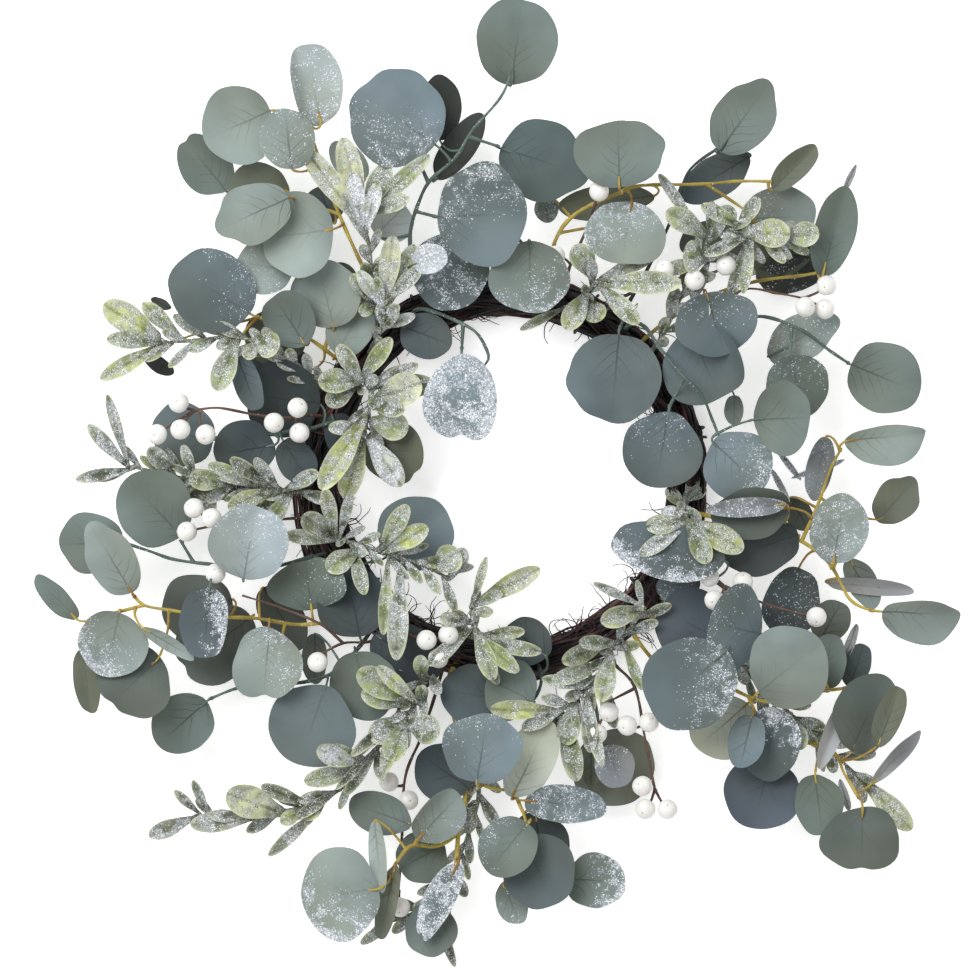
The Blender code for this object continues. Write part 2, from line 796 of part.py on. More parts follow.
def blades_of(plant, kind, draw):
    """Each blade with its petiole's root on the nearest stem, and a tilt of its own."""
    blades = []
    for x0, y0, x1, y1, width, layer in plant["blades"]:
        height = LAYER_HEIGHTS[layer]
        base = Vector((x0, y0, height))
        root = nearest_on_routes(base, growing_routes(plant["routes"]))
        blades.append({
            "root": root,
            "base": base,
            "tip": Vector((x1, y1, height + draw.uniform(LEAST_RISE, MOST_RISE))),
            "width": width,
            "roll": draw.uniform(-MOST_ROLL, MOST_ROLL),
            "layer": layer,
            "kind": kind,
            "thickness": EUCALYPTUS_THICKNESS if kind == "eucalyptus" else MISTLETOE_THICKNESS,
        })
    return blades


def tree_of(shapes):
    """A search tree of these solids, with its box."""
    points = []
    faces = []
    for bm in shapes:
        bmesh.ops.triangulate(bm, faces=bm.faces)
        bm.verts.index_update()
        start = len(points)
        points += [v.co.copy() for v in bm.verts]
        faces += [[start + v.index for v in face.verts] for face in bm.faces]
        bm.free()
    low = Vector(min(p[axis] for p in points) for axis in range(3))
    high = Vector(max(p[axis] for p in points) for axis in range(3))
    return {"tree": BVHTree.FromPolygons(points, faces), "low": low, "high": high}


def apart(one, other):
    for axis in range(3):
        if one["high"][axis] < other["low"][axis] or other["high"][axis] < one["low"][axis]:
            return True
    return not one["tree"].overlap(other["tree"])


def is_clear(shape, name, placed):
    if shape["low"].z < LOWEST:
        return False
    return all(apart(shape, other) for owner, other in placed if owner != name)


def is_clear_of_own(shape, name, own):
    """Blades of one stem don't cross each other either, though their petioles may meet."""
    return all(apart(shape, other) for owner, other in own if owner == name)


def settle_blade(blade, name, placed, own, stems, draw):
    """Lifts or lowers a blade, and at last tilts it anew, until it is clear of every other stem's growth."""
    base = blade["base"].copy()
    tip = blade["tip"].copy()
    for attempt in range(REDRAWS):
        for lift in LIFTS:
            up = Vector((0.0, 0.0, lift))
            blade["base"] = base + up
            blade["tip"] = tip + up
            shape = tree_of([blade_shape(blade, CLEARANCE)])
            blade_only = tree_of([blade_shape(blade, 0.0, bare=True)])
            kept_off = own if attempt < LOOSE_DRAW else own[len(stems):]
            if is_clear(shape, name, placed) and is_clear_of_own(blade_only, name, kept_off):
                placed.append((name, shape))
                own.append((name, blade_only))
                return
        tip.z = base.z + draw.uniform(2 * LEAST_RISE, 2 * MOST_RISE)
        blade["roll"] = draw.uniform(-2 * MOST_ROLL, 2 * MOST_ROLL)
    raise RuntimeError(f"no clear place for a blade of {name} at {base}")


def settle_berry(berry, name, placed):
    centre = berry["centre"].copy()
    for lift in LIFTS:
        berry["centre"] = centre + Vector((0.0, 0.0, lift))
        shape = tree_of(berry_shapes(berry, CLEARANCE))
        if is_clear(shape, name, placed):
            placed.append((name, shape))
            return
    raise RuntimeError(f"no clear place for a berry of {name} at {centre}")


def ring_shape(extra):
    """The bound twigs as one lobed, twisted ring, flat where it rests."""
    bm = bmesh.new()
    rings = []
    for step in range(RING_STEPS_AROUND):
        around = 2 * math.pi * step / RING_STEPS_AROUND
        ring = []
        for turn in range(RING_STEPS_ACROSS):
            across = 2 * math.pi * turn / RING_STEPS_ACROSS
            lobe = RING_LOBE_DEPTH * math.cos(RING_LOBES * across + RING_TWISTS * around)
            reach = RING_TUBE + lobe + extra
            out = RING_RADIUS + reach * math.cos(across)
            height = max(0.0, RING_CENTRE_HEIGHT + reach * math.sin(across))
            ring.append(bm.verts.new((out * math.cos(around), out * math.sin(around), height)))
        rings.append(ring)
    for near, far in zip(rings, rings[1:] + rings[:1]):
        for turn in range(RING_STEPS_ACROSS):
            following = (turn + 1) % RING_STEPS_ACROSS
            bm.faces.new((near[turn], far[turn], far[following]))
            bm.faces.new((near[turn], far[following], near[following]))
    bmesh.ops.recalc_face_normals(bm, faces=bm.faces)
    return bm


def as_object(name, bm):
    bmesh.ops.recalc_face_normals(bm, faces=bm.faces)
    mesh = bpy.data.meshes.new(name)
    bm.to_mesh(mesh)
    bm.free()
    thing = bpy.data.objects.new(name, mesh)
    bpy.context.scene.collection.objects.link(thing)
    return thing


def drop_fins(bm):
    """Removes the pairs of faces that lie back to back on the same three points."""
    while True:
        sharing = {}
        for face in bm.faces:
            sharing.setdefault(frozenset(face.verts), []).append(face)
        fins = [face for faces in sharing.values() if len(faces) > 1 for face in faces]
        if not fins:
            return
        bmesh.ops.delete(bm, geom=fins, context="FACES")


def drop_scraps(bm):
    """Keeps only the largest set of faces that share edges."""
    unseen = set(bm.faces)
    shells = []
    while unseen:
        stack = [unseen.pop()]
        shell = set(stack)
        while stack:
            for edge in stack.pop().edges:
                fresh = unseen.intersection(edge.link_faces)
                unseen -= fresh
                shell |= fresh
                stack += fresh
        shells.append(shell)
    shells.sort(key=len)
    scraps = [face for shell in shells[:-1] for face in shell]
    bmesh.ops.delete(bm, geom=scraps, context="FACES")


def tidied(mesh, same_point):
    """The mesh in triangles, without the points left along straight edges and in flat faces."""
    bm = bmesh.new()
    bm.from_mesh(mesh)
    bmesh.ops.dissolve_limit(bm, angle_limit=FLAT_ANGLE, verts=bm.verts, edges=bm.edges)
    bmesh.ops.remove_doubles(bm, verts=bm.verts, dist=same_point)
    bmesh.ops.triangulate(bm, faces=bm.faces)
    bmesh.ops.remove_doubles(bm, verts=bm.verts, dist=same_point)
    drop_fins(bm)
    drop_scraps(bm)
    return bm


def tidy(mesh):
    """Merges near points by the first distance that leaves a sound surface."""
    for same_point in SAME_POINTS:
        bm = tidied(mesh, same_point)
        if all(edge.is_manifold for edge in bm.edges) or same_point == SAME_POINTS[-1]:
            bm.to_mesh(mesh)
            bm.free()
            return
        bm.free()


def joined(name, shapes, operation, solver):
    """The first solid with the others joined to it, or cut from it, by one Boolean on their collection."""
    body = as_object(name, shapes[0])
    others = bpy.data.collections.new(name + "_pieces")
    bpy.context.scene.collection.children.link(others)
    for index, bm in enumerate(shapes[1:]):
        piece = as_object(f"{name}_piece_{index}", bm)
        bpy.context.scene.collection.objects.unlink(piece)
        others.objects.link(piece)
    boolean = body.modifiers.new("Join", "BOOLEAN")
    boolean.operation = operation
    boolean.operand_type = "COLLECTION"
    boolean.collection = others
    boolean.solver = solver
    graph = bpy.context.evaluated_depsgraph_get()
    mesh = bpy.data.meshes.new_from_object(body.evaluated_get(graph))
    tidy(mesh)
    body.modifiers.clear()
    body.data = mesh
    for piece in list(others.objects):
        bpy.data.objects.remove(piece)
    bpy.data.collections.remove(others)
    return body


def grown():
    """Every plant with its routes, blades and berries, each settled clear of the rest."""
    draw = random.Random(SEED)
    plants = {}
    for kind, table in (("eucalyptus", EUCALYPTUS), ("mistletoe", MISTLETOE), ("berry", BERRIES)):
        for name, plant in table.items():
            routes = routes_of(plant)
            plants[name] = dict(plant, kind=kind, routes=routes)
            plants[name]["blades"] = blades_of(plants[name], kind, draw) if kind != "berry" else []
            centres = [Vector(p) for p in plant.get("berries", ())]
            plants[name]["berries"] = [
                {"centre": c, "root": nearest_on_routes(c, growing_routes(routes))} for c in centres
            ]
    placed = [("ring", tree_of([ring_shape(CLEARANCE)]))]
    for name, plant in plants.items():
        placed.append((name, tree_of(stem_shapes(plant, CLEARANCE))))
    for name, plant in plants.items():
        for berry in plant["berries"]:
            settle_berry(berry, name, placed)
    stems = [(name, tree_of(stem_shapes(plant, 0.0))) for name, plant in plants.items()]
    own = list(stems)
    for layer in sorted(LAYER_HEIGHTS):
        for name, plant in plants.items():
            for blade in plant["blades"]:
                if blade["layer"] == layer:
                    settle_blade(blade, name, placed, own, stems, draw)
    return plants


def plant_object(name, plant):
    shapes = stem_shapes(plant, 0.0)
    shapes += [blade_shape(blade, 0.0) for blade in plant["blades"]]
    for berry in plant["berries"]:
        shapes += berry_shapes(berry, 0.0)
    body = joined(name, shapes, "UNION", "MANIFOLD")
    body.data.materials.clear()
    body.data.materials.append(finish(plant["kind"]))
    return body


def ring_object(plants):
    """The ring with one socket for each stem."""
    cutters = []
    for plant in plants.values():
        bm = bmesh.new()
        start, *rest = plant["routes"][0]
        deeper = start + (start - rest[0]).normalized() * SOCKET_CLEARANCE
        add_tube(bm, [deeper] + rest, STEM_RADIUS + SOCKET_CLEARANCE, STEM_SIDES)
        cutters.append(bm)
    body = joined("twig_ring", [ring_shape(0.0)] + cutters, "DIFFERENCE", "MANIFOLD")
    body.data.materials.clear()
    body.data.materials.append(finish("twig"))
    return body


def centre_on_ground(things):
    """Turns millimetres into metres, with the origin under the middle of the whole wreath's box."""
    points = [v.co for thing in things for v in thing.data.vertices]
    low = [min(p[axis] for p in points) for axis in range(3)]
    high = [max(p[axis] for p in points) for axis in range(3)]
    middle = Vector(((low[0] + high[0]) / 2, (low[1] + high[1]) / 2, low[2]))
    for thing in things:
        thing.data.transform(Matrix.Scale(MILLIMETRE, 4) @ Matrix.Translation(-middle))


def main():
    clear_scene()
    plants = grown()
    things = [ring_object(plants)]
    things += [plant_object(name, plant) for name, plant in plants.items()]
    centre_on_ground(things)


main()
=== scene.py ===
import math
import random

import bmesh
import bpy
from mathutils import Matrix, Vector, noise
from mathutils.bvhtree import BVHTree


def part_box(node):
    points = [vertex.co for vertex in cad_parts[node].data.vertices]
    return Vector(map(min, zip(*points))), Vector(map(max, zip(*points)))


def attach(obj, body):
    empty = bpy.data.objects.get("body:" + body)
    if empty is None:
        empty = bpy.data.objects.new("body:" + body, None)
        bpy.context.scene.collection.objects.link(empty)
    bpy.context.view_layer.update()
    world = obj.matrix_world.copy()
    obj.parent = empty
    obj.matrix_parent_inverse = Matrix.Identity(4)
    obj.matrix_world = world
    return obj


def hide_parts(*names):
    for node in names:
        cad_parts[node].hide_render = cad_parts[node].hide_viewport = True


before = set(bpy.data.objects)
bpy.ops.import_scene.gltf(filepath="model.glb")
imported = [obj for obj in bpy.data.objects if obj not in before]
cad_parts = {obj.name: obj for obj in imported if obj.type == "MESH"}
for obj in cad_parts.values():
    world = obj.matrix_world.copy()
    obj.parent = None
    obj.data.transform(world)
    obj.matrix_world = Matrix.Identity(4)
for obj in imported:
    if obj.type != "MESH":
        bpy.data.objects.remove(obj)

mm = 0.001
up = Vector((0, 0, 1))
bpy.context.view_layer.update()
ringLow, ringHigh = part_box("twig_ring")
ringCentre = Vector(((ringLow.x + ringHigh.x) / 2, (ringLow.y + ringHigh.y) / 2, 0))


# Small helpers
def tint(code):
    # a linear colour from its six-digit web code
    channels = [int(code[start:start + 2], 16) / 255 for start in (0, 2, 4)]
    return [c / 12.92 if c <= 0.04045 else ((c + 0.055) / 1.055) ** 2.4 for c in channels] + [1.0]


def ease(low, high, value):
    # 0 below low, 1 above high, smooth between them
    share = min(1.0, max(0.0, (value - low) / (high - low)))
    return share * share * (3 - 2 * share)


def smoothRoute(points, step):
    # close points on a smooth curve through these
    route = []
    for index in range(len(points) - 1):
        before = points[max(index - 1, 0)]
        start = points[index]
        end = points[index + 1]
        after = points[min(index + 2, len(points) - 1)]
        count = max(2, round((end - start).length / step))
        for tick in range(count):
            t = tick / count
            bend = (2 * before - 5 * start + 4 * end - after) * t * t
            turn = (3 * start - before - 3 * end + after) * t ** 3
            route.append((2 * start + (end - before) * t + bend + turn) / 2)
    route.append(points[-1])
    return route


def nearestOn(routes, x, y):
    # the nearest point of these routes in plan, with the direction of growth there
    best = None
    for route in routes:
        for start, end in zip(route, route[1:]):
            gap = math.hypot(start.x - x, start.y - y)
            if best is None or gap < best[0]:
                best = (gap, start, (end - start).normalized())
    return best[1], best[2]


def turned(angle):
    # the same direction, between half a turn back and half a turn on
    return math.atan2(math.sin(angle), math.cos(angle))


def polar(reach, angle, height):
    return Vector((reach * math.cos(angle), reach * math.sin(angle), height))


def ringPoint(degrees, height):
    return polar(ringSettings["radius"], math.radians(degrees), height)


def linked(name, data):
    # a new object of the scene
    thing = bpy.data.objects.new(name, data)
    bpy.context.scene.collection.objects.link(thing)
    return thing


def meshOf(name, bm):
    mesh = bpy.data.meshes.new(name)
    bm.to_mesh(mesh)
    bm.free()
    return mesh


# Materials: a wrapped socket, on which Python's operators add Math nodes
class Wire:
    def __init__(self, board, socket):
        self.board = board
        self.socket = socket

    def __add__(self, other):
        return self.board.maths("ADD", self, other)

    def __radd__(self, other):
        return self.board.maths("ADD", other, self)

    def __sub__(self, other):
        return self.board.maths("SUBTRACT", self, other)

    def __rsub__(self, other):
        return self.board.maths("SUBTRACT", other, self)

    def __mul__(self, other):
        return self.board.maths("MULTIPLY", self, other)

    def __rmul__(self, other):
        return self.board.maths("MULTIPLY", other, self)

    def __truediv__(self, other):
        return self.board.maths("DIVIDE", self, other)

    def __abs__(self):
        return self.board.maths("ABSOLUTE", self)

    def __lt__(self, other):
        return self.board.maths("LESS_THAN", self, other)

    def __gt__(self, other):
        return self.board.maths("GREATER_THAN", self, other)


class Board:
    # one material and the nodes on it
    def __init__(self, name):
        self.material = bpy.data.materials.new(name)
        self.material.use_nodes = True
        self.tree = self.material.node_tree
        self.shader = self.tree.nodes["Principled BSDF"]

    def plug(self, socket, value):
        if isinstance(value, Wire):
            self.tree.links.new(value.socket, socket)
        else:
            socket.default_value = value

    def add(self, kind, settings=None, sockets=None, out=0):
        node = self.tree.nodes.new(kind)
        for key, value in (settings or {}).items():
            setattr(node, key, value)
        for key, value in (sockets or {}).items():
            self.plug(node.inputs[key], value)
        return Wire(self, node.outputs[out])

    def maths(self, operation, *operands):
        return self.add("ShaderNodeMath", {"operation": operation}, dict(enumerate(operands)))

    def blend(self, factor, one, other):
        return self.add("ShaderNodeMix", {"data_type": "RGBA"}, {0: factor, 6: one, 7: other}, 2)

    def brighter(self, colour, factor):
        return self.add("ShaderNodeVectorMath", {"operation": "SCALE"}, {0: colour, 3: factor})

    def stretch(self, vector, scale):
        return self.add("ShaderNodeVectorMath", {"operation": "MULTIPLY"}, {0: vector, 1: scale})

    def ramp(self, value, low, high):
        settings = {"interpolation_type": "SMOOTHSTEP"}
        return self.add("ShaderNodeMapRange", settings, {0: value, 1: low, 2: high, 3: 0.0, 4: 1.0})

    def noise(self, place, scale, detail=2.0):
        return self.add("ShaderNodeTexNoise", None, {"Vector": place, "Scale": scale, "Detail": detail})

    def cells(self, place, scale, flat):
        # the distance to each cell's middle, and the cell's own colour
        settings = {"voronoi_dimensions": "2D" if flat else "3D"}
        gap = self.add("ShaderNodeTexVoronoi", settings, {"Vector": place, "Scale": scale}, "Distance")
        return gap, Wire(self, gap.socket.node.outputs["Color"])

    def parts(self, vector):
        node = self.add("ShaderNodeSeparateXYZ", None, {0: vector}).socket.node
        return [Wire(self, socket) for socket in node.outputs]

    def objectPlace(self):
        return self.add("ShaderNodeTexCoord", None, None, "Object")

    def own(self, name, out):
        return self.add("ShaderNodeAttribute", {"attribute_name": name}, None, out)

    def finish(self, colour, roughness, height=None, depth=0.0004, **fixed):
        self.plug(self.shader.inputs["Base Color"], colour)
        self.plug(self.shader.inputs["Roughness"], roughness)
        if height is not None:
            bump = self.add("ShaderNodeBump", None, {"Height": height, "Distance": depth, "Strength": 0.7})
            self.plug(self.shader.inputs["Normal"], bump)
        for key, value in fixed.items():
            self.shader.inputs[key.replace("_", " ")].default_value = value
        return self.material


frostColours = {"bright": "F8FAFC", "dull": "A0A9B4"}


def glitter(board, place, amount, grains, flat=False):
    # how much of each spot the glitter covers, and its colour. A grain is its count per unit and its size
    cover = 0.0
    for scale, size in grains:
        gap, colour = board.cells(place, scale, flat)
        chance, paintedGlint = board.parts(colour)[:2]
        cover = cover + (chance < amount) * (1 - board.ramp(gap, size * 0.6, size))
    # the grains are the frost's own white, drawn between dull and bright: the bright ones are painted
    # glints
    colour = board.blend(paintedGlint, tint(frostColours["dull"]), tint(frostColours["bright"]))
    return board.maths("MINIMUM", cover, 1.0), colour


clothGrains = {
    "sallow": 14.0, "broad": 22.0, "mottle": 90.0, "felt": 2200.0, "drift": 105.0, "clump": 330.0,
    "streak": 420.0,
}
sallow = "6F7668"
veinSettings = {
    "wobble": 55.0, "apart": 6.5, "slant": 0.95, "thick": 0.5, "reach": (3.0, 17.0),
    "fineApart": 4.1, "fineSlant": 2.4, "fineGrain": 150.0, "fade": (12.0, 36.0),
}


def leafVeins(board, place, across, along, seed):
    # they branch forwards off the midrib, left and right in turn, each as far out as its own draw
    vein = veinSettings
    wobble = board.noise(place, vein["wobble"]) - 0.5
    aside = abs(across)
    stagger = (across > 0.0) * 0.5
    order = (along - aside * vein["slant"] + wobble * 10.0) / vein["apart"] + stagger
    number = board.maths("FLOOR", order) * 1.7 + stagger * 9.0 + seed * 40.0
    draw = board.add("ShaderNodeTexWhiteNoise", {"noise_dimensions": "1D"}, {"W": number}, "Value")
    gap = abs(board.maths("FRACT", order) - 0.5) * vein["apart"]
    line = 1 - board.ramp(gap + aside * 0.012, 0.1, vein["thick"])
    least, extra = vein["reach"]
    side = line * board.ramp(draw * extra + least - aside, 0.0, 5.0)
    bent = along + aside * 0.4 + wobble * 18.0 - across * vein["fineSlant"]
    gap = abs(board.maths("FRACT", bent / vein["fineApart"]) - 0.5) * vein["fineApart"]
    fine = (1 - board.ramp(gap, 0.05, 0.4)) * board.ramp(board.noise(place, vein["fineGrain"]), 0.5, 0.62)
    midrib = 1 - board.ramp(abs(across + wobble * 1.6), 0.2, 0.75)
    veins = board.maths("MAXIMUM", board.maths("MAXIMUM", midrib, side * 0.9), fine * 0.35)
    return veins * (1 - board.ramp(along, *vein["fade"]) * 0.9) * seed


def clothFrost(board, place, flat, frost, colour):
    # a dull haze, coarse lumps and single grains, in drifts; gives the grains' cover as well
    grains = clothGrains
    drifts = board.noise(place, grains["drift"]) * 0.62 + board.noise(place, grains["clump"]) * 0.38
    patch = board.ramp(drifts, 0.42, 0.6)
    amount = board.maths("MINIMUM", frost * patch + board.ramp(frost, 0.7, 1.4) * 0.55, 0.8)
    cover, paintedGlint = glitter(board, flat, amount, ((1.6, 0.5), (0.95, 0.42)), True)
    lumps, paintedLumpGlint = glitter(board, flat, amount * 0.9 - 0.3, ((0.5, 0.46),), True)
    streak = board.ramp(board.noise(place, grains["streak"]), 0.35, 0.7)
    haze = board.maths("MINIMUM", amount * (0.4 + streak * 0.5), 0.8)
    colour = board.blend(haze, colour, tint(frostColours["dull"]))
    colour = board.blend(lumps * 0.75, colour, paintedLumpGlint)
    return board.blend(cover, colour, paintedGlint), cover


def eucalyptusPaint():
    board = Board("eucalyptus_cloth")
    grains = clothGrains
    place = board.objectPlace()
    flat = board.own("leaf", "Vector")
    across, along = board.parts(flat)[:2]
    veins = leafVeins(board, place, across, along, board.own("tone", "Alpha"))
    broad = board.ramp(board.noise(place, grains["broad"]), 0.28, 0.72)
    mottle = board.noise(place, grains["mottle"])
    felt = board.noise(place, grains["felt"], 0.0)
    # broad patches lighter and darker are painted light and shade over the leaf, mottle and felt are its
    # grain; darker towards the stalk, painted shade where the leaf meets the stem
    light = 0.68 + broad * 0.32 + mottle * 0.16 + felt * 0.08
    colour = board.brighter(board.own("tone", "Color"), light - board.ramp(along, 12.0, 0.0) * 0.16)
    aged = board.ramp(board.noise(place, grains["sallow"]), 0.35, 0.65) * 0.14
    colour = board.blend(aged, colour, tint(sallow))
    colour = board.blend(veins * 0.75, colour, board.brighter(colour, 0.3))
    colour, cover = clothFrost(board, place, flat, board.own("frost", "Fac"), colour)
    roughness = 0.62 + mottle * 0.12 - cover * 0.3
    height = cover * 0.6 + felt * 0.08 + mottle * 0.5 - veins * 0.3
    return board.finish(colour, roughness, height, 0.0005, Specular_IOR_Level=0.35)


mouldColours = {"cream": "CCD0B0", "shadow": "3E4630", "crust": "A9AEA8", "darkSpecks": "4A4E3F"}


def mistletoePaint():
    board = Board("mistletoe_moulding")
    mould = {name: tint(code) for name, code in mouldColours.items()}
    place = board.objectPlace()
    flat = board.own("leaf", "Vector")
    across, along, reach = board.parts(flat)
    tone = board.own("tone", "Color")
    frost = board.own("frost", "Fac")
    mottle = board.ramp(board.noise(place, 170.0, 3.0), 0.25, 0.75)
    broad = board.ramp(board.noise(place, 75.0), 0.42, 0.62)
    groove = 1 - board.ramp(abs(across), 0.3, 1.5)
    dusk = board.ramp(board.noise(place, 62.0), 0.5, 0.68)
    # dark where it leaves the stem, in its groove and in a few patches, painted shade; cream along its rim
    # and in others
    colour = board.brighter(tone, 0.5 + mottle * 0.62)
    cream = board.maths("MINIMUM", board.ramp(reach, 0.74, 0.98) * 0.6 + broad * 0.28, 0.85)
    colour = board.blend(cream, colour, mould["cream"])
    shade = board.ramp(along, 17.0, 1.0) * 0.85 + groove * 0.4 + dusk * 0.4
    shade = board.maths("MINIMUM", shade, 0.9)
    colour = board.blend(shade, colour, mould["shadow"])
    patch = board.ramp(board.noise(place, 120.0, 2.0), 0.4, 0.54)
    amount = frost * (patch * 0.9 + 0.1) * (1.1 - board.ramp(reach, 0.6, 1.0) * 0.75)
    ground = board.blend(amount * 0.62, colour, mould["crust"])
    cover, paintedGlint = glitter(board, flat, amount * 0.8, ((2.0, 0.55), (1.2, 0.5)), True)
    specks = glitter(board, place, amount * 0.45, ((1000.0, 0.6),))[0]
    # dark specks among the frost
    ground = board.blend(specks * 0.8, ground, mould["darkSpecks"])
    colour = board.blend(cover, ground, paintedGlint)
    roughness = 0.55 + mottle * 0.1 - cover * 0.2
    height = cover * 0.8 + mottle * 0.4 - groove * 0.4
    return board.finish(colour, roughness, height, 0.0008)


def wirePaint(name, colours, frost):
    # a wrapped wire stem, its colour drifting between two and its frost in flecks
    board = Board(name)
    place = board.objectPlace()
    drift = board.ramp(board.noise(place, 55.0, 2.0), 0.35, 0.65)
    grain = board.noise(board.stretch(place, (1.0, 1.0, 3.0)), 900.0, 3.0)
    colour = board.blend(drift, tint(colours[0]), tint(colours[1]))
    colour = board.brighter(colour, 0.75 + grain * 0.5)
    cover, paintedGlint = glitter(board, place, frost, ((1300.0, 0.55),))
    colour = board.blend(cover, colour, paintedGlint)
    return board.finish(colour, 0.6 + grain * 0.2, grain + cover, 0.0004)


berryColours = {"shade": "D8D5D0", "light": "F0EEEB", "eye": "7C6654"}


def berryPaint():
    board = Board("berry_skin")
    skin = {name: tint(code) for name, code in berryColours.items()}
    place = board.objectPlace()
    eye = board.own("frost", "Fac")
    mottle = board.noise(place, 240.0, 3.0)
    speck, paintedGlint = glitter(board, place, 0.16, ((1500.0, 0.4),))
    colour = board.blend(mottle, skin["shade"], skin["light"])
    colour = board.blend(speck * 0.6, colour, paintedGlint)
    colour = board.blend(board.ramp(eye, 0.72, 0.92), colour, skin["eye"])
    return board.finish(colour, 0.42 - speck * 0.2, mottle * 0.4 + speck, 0.0003, Subsurface_Weight=0.08)


def twigPaint(name, colours):
    board = Board(name)
    place = board.objectPlace()
    drift = board.ramp(board.noise(place, 60.0, 3.0), 0.35, 0.7)
    fibre = board.noise(place, 700.0, 4.0)
    colour = board.blend(drift, tint(colours[0]), tint(colours[1]))
    colour = board.brighter(colour, 0.55 + fibre * 0.9)
    return board.finish(colour, 0.7 + fibre * 0.2, fibre, 0.0007)


wireKinds = {
    "ochre": (("B8A446", "8F7C34"), 0.04),
    "green": (("44564F", "5C6E66"), 0.05),
    "dark": (("2B3331", "3C4643"), 0.03),
    "brown": (("46332C", "6A4D40"), 0.03),
    "silver": (("6A7258", "5C6156"), 0.62),
    "petiole": (("8C6A2C", "B09A40"), 0.05),
}
wires = {kind: wirePaint("wire_" + kind, colours, frost) for kind, (colours, frost) in wireKinds.items()}
leafCloth = eucalyptusPaint()
sprigSkin = mistletoePaint()
berrySkin = berryPaint()
barks = (
    twigPaint("twig_bark", ("0D0A0B", "1B1315")),
    twigPaint("twig_bark_brown", ("1D1416", "33231F")),
    twigPaint("twig_bark_red", ("381F1F", "5E3F3C")),
)
print("materials ready")

leafTones = {
    "pale": "9CA5A2", "light": "848E8A", "sage": "68736F", "green": "5F6A64", "blue": "6B7980",
    "steel": "5A666A", "slate": "505B60", "sedge": "525A55", "dark": "3B454B", "night": "2F3331",
    "olive": "666B5D", "moss": "575C56", "lilac": "9FA0A4", "mist": "B4BAAE", "stone": "787C82",
    "ink": "4C5664", "taupe": "84877C", "haze": "C2C9CA", "cloud": "939EA2", "teal": "4E5C5D",
}
# deeper layers darker and the top ones a little lighter: painted shade and light by depth
layerPaintedShade = {1: 0.82, 2: 0.9, 3: 0.97, 4: 1.0, 5: 1.03, 6: 1.03, 7: 0.9}
underTone = "767B6C"  # the leaves' paler, browner back


# Leaves. A pose gives a leaf's base and tip, its half width, its roll, its form and its frost
leafSettings = {
    "grid": 12, "cup": 0.16, "fold": 0.5, "thick": 0.45, "wave": 0.06,
    "wideFrom": 34, "wideCheck": (0.36, 0.97), "smallCheck": (0.50, 1.0), "rimNoise": 0.05, "slim": 0.4,
    "stalked": 3.2, "gauge": 1.35, "petiole": 0.85, "notches": (0.25, 0.95, -0.6, 1.7),
}
sprigSettings = {
    "grid": 10, "arch": 3.0, "thick": 1.1, "check": (0.45, 0.85), "groove": 0.6, "neck": 0.34,
    "widen": 1.18, "lengthen": 0.75, "smallGrid": 7, "smallEvery": 2,
    "smallLength": (14, 26), "smallWidth": (4.5, 8), "smallLean": (0.25, 0.85),
    "smallThick": 0.7, "smallFrost": 0.9, "gauge": 1.5, "stalk": 1.1,
}
layerHeights = {1: 13, 2: 33, 3: 42, 4: 53, 5: 64, 6: 68, 7: 36}  # 6 is loose over all, 7 among the stems


def discPoint(co):
    # a point of the square grid, carried to the round disc
    return co.x * math.sqrt(1 - co.y * co.y / 2), co.y * math.sqrt(1 - co.x * co.x / 2)


def leafOutline(form, angle, seed):
    # how far the edge stands at this angle round the leaf, as a share of a plain round leaf
    spot = Vector((math.cos(angle) * 1.3 + seed, math.sin(angle) * 1.3, seed * 0.7))
    edge = 1 + leafSettings["rimNoise"] * noise.noise(spot) * 2
    fromTip = abs(turned(angle - math.pi / 2))
    if form == "pointed":
        edge += 0.03 - 0.10 * math.exp(-((fromTip - 0.75) / 0.4) ** 2)
    if form == "notched":
        for notch in leafSettings["notches"]:
            edge -= 0.04 * math.exp(-(turned(angle - math.pi / 2 - notch) / 0.2) ** 2)
    if form == "wavy":
        edge += 0.05 * math.cos(3 * angle + seed) - 0.12 * math.exp(-(fromTip / 0.22) ** 2)
    return edge


def leafLift(pose, across, share, angle, reach):
    # how far the leaf stands above its flat plane
    form, half, seed = pose["form"], pose["half"], pose["seed"]
    cup = leafSettings["fold"] if form == "folded" else leafSettings["cup"]
    lift = cup * half * (math.sqrt(across * across + 0.012) - 0.11)
    lift += 0.035 * pose["along"].length * math.sin(math.pi * share) * math.sin(seed * 5)
    wave = leafSettings["wave"] * (2.6 if form == "wavy" else 1)
    return lift + wave * half * reach ** 2 * math.sin(3 * angle + seed * 7)


def leafPoint(pose, across, share, lift):
    return pose["base"] + pose["along"] * share + pose["side"] * (across * pose["half"]) + up * lift


def growSheet(bm, layers, pose, count, shape):
    # a round grid carried to the leaf's own form, with what its paint needs to know at each point
    sheet = bmesh.ops.create_grid(bm, x_segments=count, y_segments=count, size=1)["verts"]
    length = pose["along"].length
    for vert in sheet:
        dx, dy = discPoint(vert.co)
        reach = math.hypot(dx, dy)
        across, share, lift = shape(pose, dx, dy, reach, math.atan2(dy, dx))
        lift += pose["roll"] * across * pose["half"]
        vert.co = leafPoint(pose, across, share, lift)
        vert[layers["leaf"]] = Vector((across * pose["half"], share * length, reach))
        vert[layers["tone"]] = toneAt(pose, dx, dy)
        vert[layers["frost"]] = frostAt(pose, vert.co, reach)
    faces = list(dict.fromkeys(face for vert in sheet for face in vert.link_faces))
    made = bmesh.ops.solidify(bm, geom=faces, thickness=pose["thick"])["geom"]
    for part in made:
        if isinstance(part, bmesh.types.BMVert):
            part[layers["tone"]] = pose["under"]
    for face in dict.fromkeys(face for vert in sheet for face in vert.link_faces):
        face.material_index = 0


